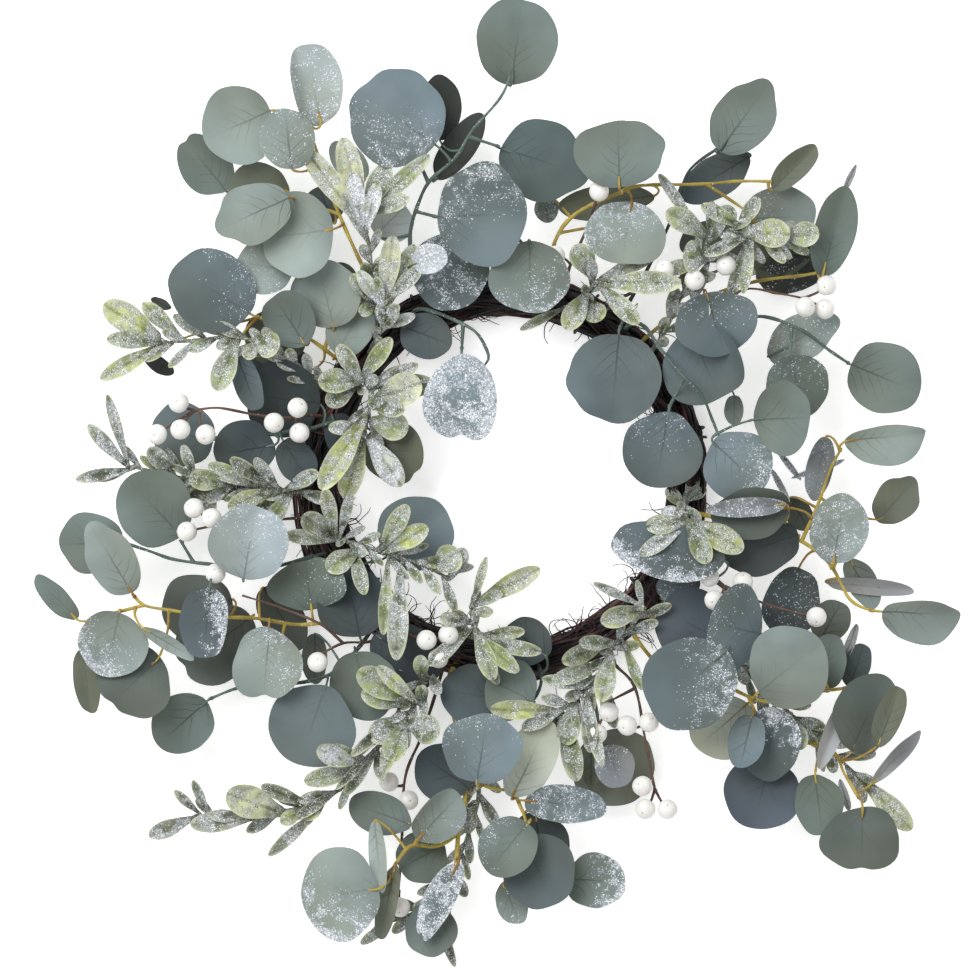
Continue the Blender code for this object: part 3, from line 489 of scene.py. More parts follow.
def toneAt(pose, dx, dy):
    # cloth fades from a cool, lighter side to a warm, darker one: partly its own two-tone colour, partly
    # painted shade across the leaf
    if pose["form"] == "oblong":
        return pose["tone"]
    turn = pose["seed"] * 2.3
    warmShadedSide = ease(-0.9, 0.9, dx * math.cos(turn) + dy * math.sin(turn))
    fades = [1.09 - 0.14 * warmShadedSide, 1.13 - 0.19 * warmShadedSide, 1.15 - 0.29 * warmShadedSide]
    return [channel * fade for channel, fade in zip(pose["tone"], fades)] + [pose["tone"][3]]


def frostAt(pose, place, reach):
    # heavier towards one side of the leaf where its row gives the direction, in degrees in plan
    if pose["frostSide"] is None:
        return pose["frost"] * (0.45 + 0.55 * reach)
    middle = pose["base"] + pose["along"] / 2
    angle = math.radians(pose["frostSide"])
    toward = (place.x - middle.x) * math.cos(angle) + (place.y - middle.y) * math.sin(angle)
    return pose["frost"] * 1.35 * ease(-0.4, 0.9, toward / pose["half"]) * (0.4 + 0.6 * reach ** 2)


def eucalyptusShape(pose, dx, dy, reach, angle):
    edge = 1 + (leafOutline(pose["form"], angle, pose["seed"]) - 1) * reach ** 3
    across = dx * edge
    share = 0.5 + 0.5 * dy * edge
    lift = leafLift(pose, across, share, angle, reach)
    if pose["form"] == "curled":
        # one side of the leaf turns up and in
        turn = 1 if math.sin(pose["seed"] * 9) > 0 else -1
        curl = max(0.0, (turn * across - 0.3) / 0.7) ** 2
        lift += 0.6 * pose["half"] * curl
        across -= turn * 0.22 * curl
    if pose["form"] == "slim" and across > 0:
        across *= leafSettings["slim"]
    return across, share, lift


def mistletoeShape(pose, dx, dy, reach, angle):
    # a strap that widens to a round tip, its sides turned down and its midrib sunk
    share = 0.5 + 0.5 * dy
    rim = dx / max(0.01, math.sqrt(max(0.0, 1 - dy * dy)))
    width = sprigSettings["neck"] + (1 - sprigSettings["neck"]) * ease(0.0, 0.62, share)
    width *= math.sqrt(max(0.0, 1 - max(0.0, (share - 0.58) / 0.42) ** 2.2))
    width *= math.sqrt(min(1.0, share / 0.06))
    across = rim * width
    lift = sprigSettings["arch"] * math.sin(math.pi * share) * pose["arch"]
    lift += pose["cup"] * pose["half"] * rim * rim * width
    lift -= sprigSettings["groove"] * math.exp(-(across * pose["half"] / 0.8) ** 2)
    lift += 0.07 * pose["half"] * reach * math.sin(4 * angle + pose["seed"] * 7)
    return across, share, lift


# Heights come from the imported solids, so each leaf lies where its solid does
def solidPoints(node):
    return [(vert.co - ringCentre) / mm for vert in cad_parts[node].data.vertices]


def topNear(points, spot, reach=1.6):
    gaps = [(math.hypot(p.x - spot.x, p.y - spot.y), p.z) for p in points]
    nearest = min(gaps)[0]
    if nearest > reach:
        return None
    return max(height for gap, height in gaps if gap < nearest + 0.4)


def solidTree():
    points = []
    faces = []
    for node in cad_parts:
        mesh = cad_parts[node].data
        start = len(points)
        points += solidPoints(node)
        faces += [[start + index for index in face.vertices] for face in mesh.polygons]
    return BVHTree.FromPolygons(points, faces)


def looseTree(base, along, side, half):
    # a coarse stand-in for a leaf that has no solid
    middle = base + along / 2
    turns = [math.pi * step / 4 for step in range(8)]
    ring = [middle + along / 2 * math.cos(turn) + side * (half * math.sin(turn)) for turn in turns]
    return BVHTree.FromPolygons([middle] + ring, [[0, step + 1, (step + 1) % 8 + 1] for step in range(8)])


solids = solidTree()
looseLeaves = []
looseLifts = (0, 2, -2, 4, -4, 6, -6, 8, 10, -8, 12, 14, -10, 16, 18, -12, 20, 24, 28, 32)


def looseHeight(base, along, side, half):
    # the nearest height at which a leaf with no solid lies clear of the solids and of the other loose ones
    for lift in looseLifts:
        tree = looseTree(base + up * lift, along, side, half)
        if base.z + lift > 3 and not tree.overlap(solids):
            if not any(tree.overlap(other) for other in looseLeaves):
                looseLeaves.append(tree)
                return base.z + lift
    return base.z


def poseOf(points, row, kind):
    x0, y0, x1, y1, width, layer = row[:6]
    half = width / 2
    base = Vector((x0, y0, layerHeights[layer]))
    along = Vector((x1 - x0, y1 - y0, 0))
    side = Vector((-along.y, along.x, 0)).normalized()
    share, reach = sprigSettings["check"]
    sag = sprigSettings["arch"] * math.sin(math.pi * share)
    if kind == "eucalyptus":
        share, reach = leafSettings["wideCheck" if width >= leafSettings["wideFrom"] else "smallCheck"]
        sag = leafSettings["cup"] * reach * half
    middle = base + along * share
    tip = topNear(points, base + along)
    left = topNear(points, middle + side * (reach * half))
    right = topNear(points, middle - side * (reach * half))
    roll = 0.0
    if layer == 6 or tip is None or left is None or right is None:
        base.z = layerHeights[7] if layer == 7 else looseHeight(base, along, side, half)
    else:
        roll = min(0.7, max(-0.7, (left - right) / (2 * reach * half)))
        base.z = ((left + right) / 2 - sag - tip * share) / (1 - share)
        along.z = tip - base.z
    return {"base": base, "along": along, "side": side, "half": half, "roll": roll}


# Stems, petioles and pedicels are round wires through smooth routes
def addWires(bm, tubes, sides):
    # tubes are (points, radii, material number), in millimetres; bm gets them as one mesh
    curve = bpy.data.curves.new("wires", "CURVE")
    curve.dimensions = "3D"
    curve.bevel_depth = 1.0
    curve.bevel_resolution = sides
    curve.use_fill_caps = True
    for slot in range(3):
        curve.materials.append(None)
    for points, radii, number in tubes:
        spline = curve.splines.new("POLY")
        spline.points.add(len(points) - 1)
        spline.material_index = number
        for knot, point, radius in zip(spline.points, points, radii):
            knot.co = point.to_4d()
            knot.radius = radius
    thing = linked("wires", curve)
    graph = bpy.context.evaluated_depsgraph_get()
    mesh = bpy.data.meshes.new_from_object(thing.evaluated_get(graph))
    bm.from_mesh(mesh)
    bpy.data.objects.remove(thing)
    bpy.data.curves.remove(curve)
    bpy.data.meshes.remove(mesh)


def stemRoutes(plant, step=3.0):
    # the stem from inside the ring, then its branches, each starting on what is there already, and the same
    # without the part that is inside the ring, where nothing grows
    routes = [smoothRoute([ringPoint(plant["root"], 12)] + [Vector(p) for p in plant["stem"]], step)]
    for branch in plant.get("branches", []):
        points = [Vector(p) for p in branch]
        points[0] = nearestOn(routes, points[0].x, points[0].y)[0].copy()
        routes.append(smoothRoute(points, step))
    return routes, [routes[0][5:]] + routes[1:]


def stemTubes(routes, radius, number, draw):
    tubes = []
    for index, route in enumerate(routes):
        full = radius * (1.0 if index == 0 else 0.82)
        knot = draw.random() * 6
        radii = []
        for step in range(len(route)):
            thin = 1 - 0.35 * step / len(route)
            swell = 0.10 * math.sin(step * 0.9 + knot) + 0.25 * math.exp(-step / 1.5) * (index > 0)
            radii.append(full * (thin + swell))
        tubes.append((route, radii, number))
    return tubes


def petioleTube(routes, pose, radius, number):
    # a short stalk that leaves the stem, swings round to the leaf and runs on a little under its midrib
    root = nearestOn(routes, pose["base"].x, pose["base"].y)[0]
    away = pose["along"].normalized()
    reach = (pose["base"] - root).length
    bend = root.lerp(pose["base"], 0.55) - away * min(3.0, reach * 0.2)
    under = pose["base"] + pose["along"] * 0.16 - up * (pose["thick"] + radius * 0.35)
    points = smoothRoute([root, bend, pose["base"] - up * (pose["thick"] * 0.6), under], 1.8)
    count = len(points) - 1
    radii = []
    for step in range(count + 1):
        knot = math.exp(-step / 1.2) + 0.55 * math.exp(-((step - count * 0.72) / 0.9) ** 2)
        radii.append(radius * (1.0 + 0.6 * knot - 0.4 * step / count))
    return points, radii, number


def newLayers(bm):
    return {
        "leaf": bm.verts.layers.float_vector.new("leaf"),
        "tone": bm.verts.layers.float_color.new("tone"),
        "frost": bm.verts.layers.float.new("frost"),
    }


def addPiece(node, bm, materials, sharp=45):
    # the finished piece: in metres, at its place in the frame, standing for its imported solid
    bm.transform(Matrix.Translation(ringCentre) @ Matrix.Scale(mm, 4))
    mesh = meshOf(node + "_fine", bm)
    for material in materials:
        mesh.materials.append(material)
    mesh.shade_smooth()
    mesh.set_sharp_from_angle(angle=math.radians(sharp))
    piece = linked(node + "_fine", mesh)
    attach(piece, "root")
    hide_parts(node)


frostLevels = (0.0, 0.12, 0.45, 0.85, 1.3)


def frostOf(value):
    # a row's frost is a level from 0 to 4, or a level and the side where it lies
    level, frostSide = value if isinstance(value, tuple) else (value, None)
    return frostLevels[level], frostSide


# Eucalyptus. A leaf is x0, y0 at its stalk, x1, y1 at its tip, width, layer and tone, then its form and its
# frost where they aren't "round" and 0
eucalyptus = {
    "eucalyptus_top_left": {
        "root": 127, "wire": "ochre",
        "stem": [
            (-74, 104, 30), (-84, 124, 40), (-96, 150, 46), (-106, 175, 50), (-114, 200, 54),
            (-119, 218, 57),
        ],
        "branches": [[(-100, 158, 47), (-123, 165, 41), (-150, 169, 38), (-164, 171, 37)]],
        "leaves": [
            (-110, 211, -118, 260, 33, 5, "pale", "curled", 2), (-140, 220, -179, 202, 48, 4, "light"),
            (-127, 184, -132, 220, 33, 5, "light", "round", 1),
            (-167, 172, -193, 204, 30, 2, "green", "wavy"), (-130, 172, -166, 176, 30, 3, "olive"),
            (-130, 167, -172, 148, 35, 5, "light", "pointed"), (-103, 149, -146, 143, 51, 4, "light"),
            (-104, 154, -112, 176, 23, 2, "slate"), (-84, 180, -104, 201, 19, 2, "pale", "round", 1),
        ],
    },
    "eucalyptus_left_high": {
        "root": 145, "wire": "ochre",
        "stem": [(-104, 74, 30), (-118, 84, 36), (-134, 92, 40), (-150, 97, 43)],
        "branches": [
            [(-118, 84, 36), (-119, 102, 34), (-124, 120, 34)],
            [(-108, 78, 32), (-104, 94, 30), (-96, 108, 26)],
        ],
        "leaves": [
            (-152, 98, -197, 126, 48, 4, "steel", "round", (1, 30)),
            (-127, 124, -161, 130, 33, 3, "light", "round", 1), (-103, 90, -112, 130, 43, 3, "light"),
            (-120, 80, -139, 110, 30, 2, "sage"), (-120, 80, -156, 89, 33, 2, "olive"),
            (-102, 74, -84, 104, 27, 3, "light"), (-161, 75, -148, 40, 16, 4, "slate"),
            (-92, 112, -105, 129, 18, 1, "olive"), (-217, 74, -200, 63, 10, 2, "night"),
            (-213, 108, -201, 102, 6, 2, "night"), (-116, 66, -156, 70, 26, 1, "dark"),
            (-92, 84, -70, 96, 24, 1, "slate"),
        ],
    },
    "eucalyptus_top": {
        "root": 114.6, "wire": "green",
        "stem": [
            (-54, 122, 32), (-57, 146, 42), (-51, 167, 50), (-44, 179, 54), (-30, 191, 57),
            (-20, 207, 59), (-3, 227, 60), (3, 240, 60),
        ],
        "branches": [
            [(-21, 204, 59), (-3, 198, 57)], [(-53, 160, 47), (-40, 156, 55)],
            [(-44, 177, 54), (-50, 186, 53)],
        ],
        "leaves": [
            (-41, 199, -88, 232, 59, 4, "blue", "notched", (2, -100)),
            (-39, 203, -39, 242, 25, 2, "night"), (-41, 180, -14, 218, 20, 2, "night"),
            (-40, 156, 13, 157, 61, 5, "steel", "round", (2, 110)), (4, 236, 10, 287, 47, 4, "sage"),
            (-2, 197, 49, 182, 49, 4, "teal", "pointed"), (-78, 146, -60, 164, 30, 3, "haze"),
            (-55, 127, -35, 134, 18, 6, "haze", "round", 4),
        ],
    },
    "eucalyptus_top_inner": {
        "root": 120.5, "wire": "green",
        "stem": [
            (-54, 101, 31), (-46, 101, 38), (-33, 96, 42), (-18, 88, 45), (-11, 77, 45), (-10, 71, 44),
            (-14, 66, 43),
        ],
        "branches": [[(-24, 92, 44), (-26, 76, 48)]],
        "leaves": [(-26, 73, -26, 21, 43, 4, "blue", "wavy", 4), (-63, 92, -33, 80, 28, 2, "slate")],
    },
    "eucalyptus_top_centre": {
        "root": 82, "wire": "green",
        "stem": [(15, 121, 30), (14, 135, 40), (6, 146, 42)],
        "leaves": [
            (15, 141, 14, 98, 47, 4, "sage", "round", (2, -60)),
            (-16, 140, -51, 108, 45, 2, "slate", "round", 2),
        ],
    },
    "eucalyptus_top_right": {
        "root": 78, "wire": "ochre",
        "stem": [
            (28, 122, 30), (30, 142, 44), (42, 158, 50), (67, 170, 54), (81, 175, 54), (117, 176, 50),
            (141, 178, 46), (160, 178, 44),
        ],
        "branches": [[(120, 176, 50), (141, 163, 44), (149, 157, 42)], [(33, 147, 45), (48, 150, 42)]],
        "leaves": [
            (68, 173, 67, 214, 54, 5, "sage", "notched"),
            (76, 165, 69, 127, 48, 4, "light", "round", (3, 120)), (90, 170, 33, 162, 21, 2, "olive"),
            (144, 156, 188, 158, 37, 2, "light", "round", (1, 180)),
            (160, 173, 187, 199, 16, 3, "olive", "folded"),
            (24, 170, 26, 154, 15, 2, "light", "round", 2), (150, 145, 106, 142, 26, 1, "moss"),
        ],
    },
    "eucalyptus_corner_right": {
        "root": 55, "wire": "dark",
        "stem": [(76, 108, 28), (92, 138, 34), (104, 165, 38), (111, 185, 42), (128, 198, 46)],
        "leaves": [
            (129, 196, 157, 236, 34, 4, "sage", "pointed"), (148, 194, 106, 169, 25, 2, "slate"),
            (203, 171, 211, 188, 4, 3, "lilac", "folded"),
        ],
    },
    "eucalyptus_right_high": {
        "root": 45, "wire": "ochre",
        "stem": [(94, 92, 28), (120, 108, 34), (150, 118, 36), (180, 122, 38), (190, 124, 40)],
        "leaves": [
            (190, 121, 203, 173, 25, 4, "green", "folded"),
            (120, 111, 131, 74, 50, 4, "steel", "round", (1, 90)),
            (195, 128, 152, 119, 23, 1, "night", "round", 1), (186, 140, 146, 130, 27, 1, "olive"),
        ],
    },
    "eucalyptus_right": {
        "root": 35, "wire": "green",
        "stem": [
            (108, 76, 30), (130, 90, 40), (153, 97, 44), (177, 89, 48), (195, 76, 50), (207, 68, 50),
        ],
        "branches": [[(171, 91, 47), (171, 77, 50)]],
        "leaves": [
            (171, 74, 179, 37, 38, 4, "green", "round", (1, 90)),
            (158, 73, 199, 96, 27, 3, "light", "pointed", 1), (207, 68, 248, 51, 43, 4, "sage"),
            (110, 88, 130, 47, 52, 3, "steel", "curled"), (138, 50, 138, 32, 12, 2, "light"),
        ],
    },
    "eucalyptus_right_inner": {
        "root": 51, "wire": "green",
        "stem": [
            (76, 93, 30), (84, 91, 38), (93, 77, 58), (105, 62, 66), (117, 50, 64), (124, 35, 54),
            (128, 25, 52),
        ],
        "branches": [[(84, 91, 39), (73, 96, 44), (68, 88, 48)], [(108, 59, 50), (98, 42, 50)]],
        "leaves": [
            (68, 86, 64, 34, 58, 4, "steel", "notched"),
            (98, 40, 90, -5, 48, 4, "steel", "round", (1, 90)),
            (124, 22, 154, -6, 43, 4, "blue", "round", (2, 0)), (149, 35, 182, 36, 43, 5, "sage"),
        ],
    },
    "eucalyptus_right_low": {
        "root": -10, "wire": "ochre",
        "stem": [
            (128, -24, 28), (155, -30, 38), (178, -38, 44), (195, -52, 48), (207, -73, 48),
            (221, -80, 48),
        ],
        "branches": [[(178, -38, 44), (188, -15, 46), (195, 5, 46), (202, 18, 46)]],
        "leaves": [
            (204, 22, 252, 27, 34, 4, "light", "slim"), (224, -25, 247, -1, 24, 3, "olive", "pointed"),
            (196, -51, 202, -10, 34, 5, "light", "round", 2),
            (226, -80, 273, -82, 38, 4, "light", "slim"), (171, -18, 124, -24, 31, 4, "sedge", "folded"),
            (176, -34, 131, -49, 33, 2, "dark"), (177, -54, 168, -97, 35, 2, "dark", "round", 1),
            (193, 25, 185, -13, 16, 3, "stone", "round", 1), (172, -12, 184, -31, 16, 1, "moss"),
            (207, -48, 223, -78, 18, 2, "light"), (194, -63, 247, -68, 10, 2, "lilac", "folded"),
            (168, -16, 121, -19, 12, 5, "stone", "folded", 2),
            (173, 0, 205, 11, 4, 2, "lilac", "folded", 4), (163, 18, 178, -1, 4, 2, "stone", "folded", 4),
            (160, 6, 171, -14, 4, 2, "lilac", "folded", 4),
        ],
    },
    "eucalyptus_lower_right_inner": {
        "root": -28, "wire": "green",
        "stem": [(116, -56, 30), (134, -68, 40), (146, -84, 46), (150, -95, 48)],
        "branches": [[(142, -79, 44), (138, -92, 46), (133, -101, 50)]],
        "leaves": [
            (132, -50, 64, -37, 34, 3, "slate", "round", (3, -110)), (130, -97, 93, -79, 45, 2, "ink"),
            (131, -103, 88, -142, 53, 5, "steel", "round", (2, 0)),
            (153, -93, 122, -86, 54, 4, "steel", "round", (1, 150)),
            (117, -61, 91, -68, 18, 2, "blue", "round", 1),
        ],
    },
    "eucalyptus_lower_right": {
        "root": -43, "wire": "ochre",
        "stem": [
            (98, -94, 30), (120, -116, 40), (146, -131, 48), (165, -134, 50), (190, -128, 48),
            (205, -126, 46),
        ],
        "branches": [[(146, -131, 48), (154, -150, 43), (160, -168, 38)]],
        "leaves": [
            (151, -128, 188, -98, 51, 5, "light"), (192, -127, 196, -94, 22, 3, "sage"),
            (190, -97, 202, -74, 23, 2, "moss"), (146, -135, 116, -162, 40, 3, "mist"),
            (148, -142, 140, -173, 22, 4, "blue"),
            (162, -137, 156, -181, 35, 3, "slate", "round", (3, 60)),
            (160, -170, 148, -210, 47, 2, "ink"), (207, -127, 188, -173, 12, 4, "lilac", "folded"),
            (207, -127, 216, -100, 17, 2, "dark"), (212, -88, 204, -110, 6, 2, "lilac", "folded"),
        ],
    },
    "eucalyptus_corner_low": {
        "root": -50, "wire": "ochre",
        "stem": [
            (88, -108, 26), (120, -140, 28), (160, -155, 26), (195, -163, 38), (204, -178, 42),
            (213, -193, 46),
        ],
        "leaves": [
            (207, -164, 227, -119, 41, 4, "sedge", "curled"), (186, -177, 190, -214, 29, 3, "green"),
            (214, -197, 213, -236, 47, 4, "sedge", "wavy"),
            (221, -183, 250, -152, 9, 3, "lilac", "folded"), (201, -181, 207, -200, 5, 3, "lilac"),
            (222, -160, 236, -124, 16, 5, "olive", "folded"),
        ],
    },
    "eucalyptus_left_low": {
        "root": 220, "wire": "ochre",
        "stem": [
            (-98, -84, 30), (-123, -88, 44), (-150, -84, 50), (-174, -83, 54), (-201, -79, 56),
            (-216, -76, 57), (-223, -69, 58),
        ],
        "branches": [[(-216, -78, 57), (-231, -80, 57), (-249, -84, 56)]],
        "leaves": [
            (-223, -68, -247, -28, 29, 5, "light", "pointed"),
            (-256, -85, -281, -59, 14, 4, "sage", "folded"),
            (-230, -80, -239, -118, 42, 5, "light", "round", (3, -130)),
            (-207, -107, -236, -136, 46, 4, "sedge", "wavy"), (-164, -73, -205, -86, 45, 2, "moss"),
            (-153, -84, -195, -115, 45, 2, "moss", "wavy"),
            (-141, -89, -144, -133, 41, 5, "light", "wavy", (2, 30)),
            (-116, -80, -120, -49, 48, 3, "green", "wavy", (1, 0)),
            (-254, -102, -248, -141, 16, 3, "olive", "folded"),
            (-217, -89, -186, -108, 9, 5, "light", "folded"), (-146, -66, -123, -103, 26, 1, "moss"),
            (-135, -114, -131, -131, 13, 3, "green"),
        ],
    },
    "eucalyptus_left_green": {
        "root": 203, "wire": "green",
        "stem": [
            (-118, -48, 28), (-145, -54, 38), (-174, -52, 42), (-198, -49, 44), (-213, -44, 44),
            (-228, -39, 44),
        ],
        "branches": [
            [(-188, -50, 43), (-195, -37, 46)], [(-116, -48, 27), (-98, -54, 32), (-79, -50, 34)],
        ],
        "leaves": [
            (-229, -38, -268, -40, 37, 3, "sage"), (-194, -35, -226, -1, 47, 4, "sage"),
            (-156, -61, -149, -17, 47, 5, "cloud", "round", (2, 60)),
            (-176, -64, -180, -107, 33, 4, "slate", "curled", (4, 0)),
            (-72, -48, -36, -19, 45, 2, "blue"),
        ],
    },
    "eucalyptus_left_bottom": {
        "root": 228, "wire": "green",
        "stem": [(-88, -102, 28), (-105, -118, 36), (-130, -124, 38), (-156, -125, 38), (-178, -133, 38)],
        "leaves": [
            (-179, -134, -208, -160, 36, 3, "sage"), (-107, -124, -124, -171, 53, 4, "steel"),
            (-90, -104, -80, -145, 41, 3, "green"), (-87, -96, -96, -55, 42, 2, "dark"),
            (-78, -94, -40, -121, 36, 7, "dark"), (-115, -94, -115, -124, 16, 1, "moss"),
        ],
    },
    "eucalyptus_bottom_left": {
        "root": 256, "wire": "ochre", "gauge": 1.8,
        "stem": [
            (-34, -124, 26), (-28, -155, 30), (-24, -190, 34), (-28, -212, 40), (-42, -221, 44),
            (-57, -221, 47), (-70, -238, 52),
        ],
        "branches": [[(-28, -212, 40), (-30, -235, 42), (-36, -252, 40)]],
        "leaves": [
            (-21, -187, -51, -166, 36, 2, "slate"),
            (-52, -216, -27, -189, 29, 4, "light", "curled", (1, -60)),
            (-56, -208, -93, -195, 25, 3, "sage"), (-36, -220, -63, -235, 32, 2, "green"),
            (-75, -245, -120, -251, 57, 5, "light", "round", (3, -120)),
            (-78, -205, -74, -247, 11, 4, "pale", "folded"),
            (-66, -232, -75, -277, 12, 4, "olive", "folded"), (-39, -256, -50, -286, 31, 2, "sage"),
            (-28, -230, -51, -276, 18, 4, "steel", "wavy", 4),
        ],
    },
    "eucalyptus_bottom": {
        "root": 266, "wire": "ochre",
        "stem": [
            (-2, -130, 26), (2, -160, 34), (6, -188, 42), (12, -204, 46), (14, -220, 44), (20, -238, 40),
            (34, -241, 38),
        ],
        "branches": [[(6, -188, 42), (-8, -186, 48), (-15, -183, 54)]],
        "leaves": [
            (-17, -182, -11, -140, 48, 5, "blue", "round", (1, 100)), (4, -192, 26, -146, 30, 3, "mist"),
            (14, -206, -10, -234, 35, 5, "sage", "round", (1, 150)), (18, -200, 24, -241, 35, 3, "dark"),
            (9, -214, 30, -255, 44, 2, "slate"), (36, -241, 72, -242, 33, 3, "sage", "round", (3, 0)),
            (11, -193, 60, -197, 23, 4, "blue", "folded", 2),
            (-1, -243, 9, -268, 18, 3, "light", "round", 1),
        ],
    },
    "eucalyptus_bottom_inner": {
        "root": 280, "wire": "green",
        "stem": [(22, -122, 30), (16, -134, 36), (2, -136, 37)],
        "leaves": [
            (-3, -133, -38, -127, 37, 2, "slate"), (17, -134, -10, -121, 36, 3, "sage"),
            (25, -108, 2, -88, 27, 2, "dark"),
        ],
    },
    "eucalyptus_bottom_right": {
        "root": 295, "wire": "green",
        "stem": [(52, -122, 26), (56, -145, 30), (58, -154, 32)],
        "leaves": [
            (57, -154, 75, -196, 50, 1, "taupe"), (61, -160, 70, -185, 24, 3, "stone", "round", (2, 150)),
            (52, -163, 52, -187, 10, 2, "olive", "folded"),
        ],
    },
    "eucalyptus_left": {
        "root": 165, "wire": "green",
        "stem": [(-122, 30, 28), (-142, 26, 34), (-178, 24, 37)],
        "branches": [[(-118, 30, 26), (-100, 34, 32), (-84, 30, 34)]],
        "leaves": [
            (-112, 45, -156, 50, 45, 1, "dark"), (-138, 20, -174, 14, 36, 3, "dark"),
            (-175, 23, -213, 29, 40, 2, "steel"), (-133, 22, -116, -4, 22, 3, "dark", "pointed"),
            (-81, 29, -54, 2, 36, 2, "olive", "wavy"), (-104, 38, -92, 14, 22, 1, "dark"),
            (-124, 36, -108, 62, 24, 1, "night"),
        ],
    },
}


def mixed(one, other, share):
    return [a * (1 - share) + b * share for a, b in zip(one, other)]


def eucalyptusSpray(node, plant):
    draw = random.Random(node)
    points = solidPoints(node)
    poses = []
    for row in plant["leaves"]:
        pose = poseOf(points, row, "eucalyptus")
        tone, form, frostLevel = row[6:] + ("round", 0)[len(row) - 7:]
        frost, frostSide = frostOf(frostLevel)
        # a random tone variation times the layer's painted shade
        shade = draw.uniform(0.93, 1.07) * layerPaintedShade[row[5]]
        colour = [channel * shade for channel in tint(leafTones[tone])]
        colour[3] = draw.uniform(0.35, 1.0)
        under = mixed(colour, tint(underTone), 0.5)
        pose.update(thick=leafSettings["thick"], tone=colour, under=under, form=form)
        pose.update(frost=frost, frostSide=frostSide, seed=draw.uniform(0, 6))
        poses.append(pose)
    routes, growing = stemRoutes(plant)
    wire = wires[plant["wire"]]
    petiole = wires["petiole"] if plant["wire"] == "ochre" else wire
    stalked = [pose for pose in poses if pose["half"] > leafSettings["stalked"]]
    tubes = stemTubes(routes, plant.get("gauge", leafSettings["gauge"]), 1, draw)
    tubes += [petioleTube(growing, pose, leafSettings["petiole"], 2) for pose in stalked]
    bm = bmesh.new()
    addWires(bm, tubes, 2)
    layers = newLayers(bm)
    for pose in poses:
        growSheet(bm, layers, pose, leafSettings["grid"], eucalyptusShape)
    addPiece(node, bm, (leafCloth, wire, petiole))


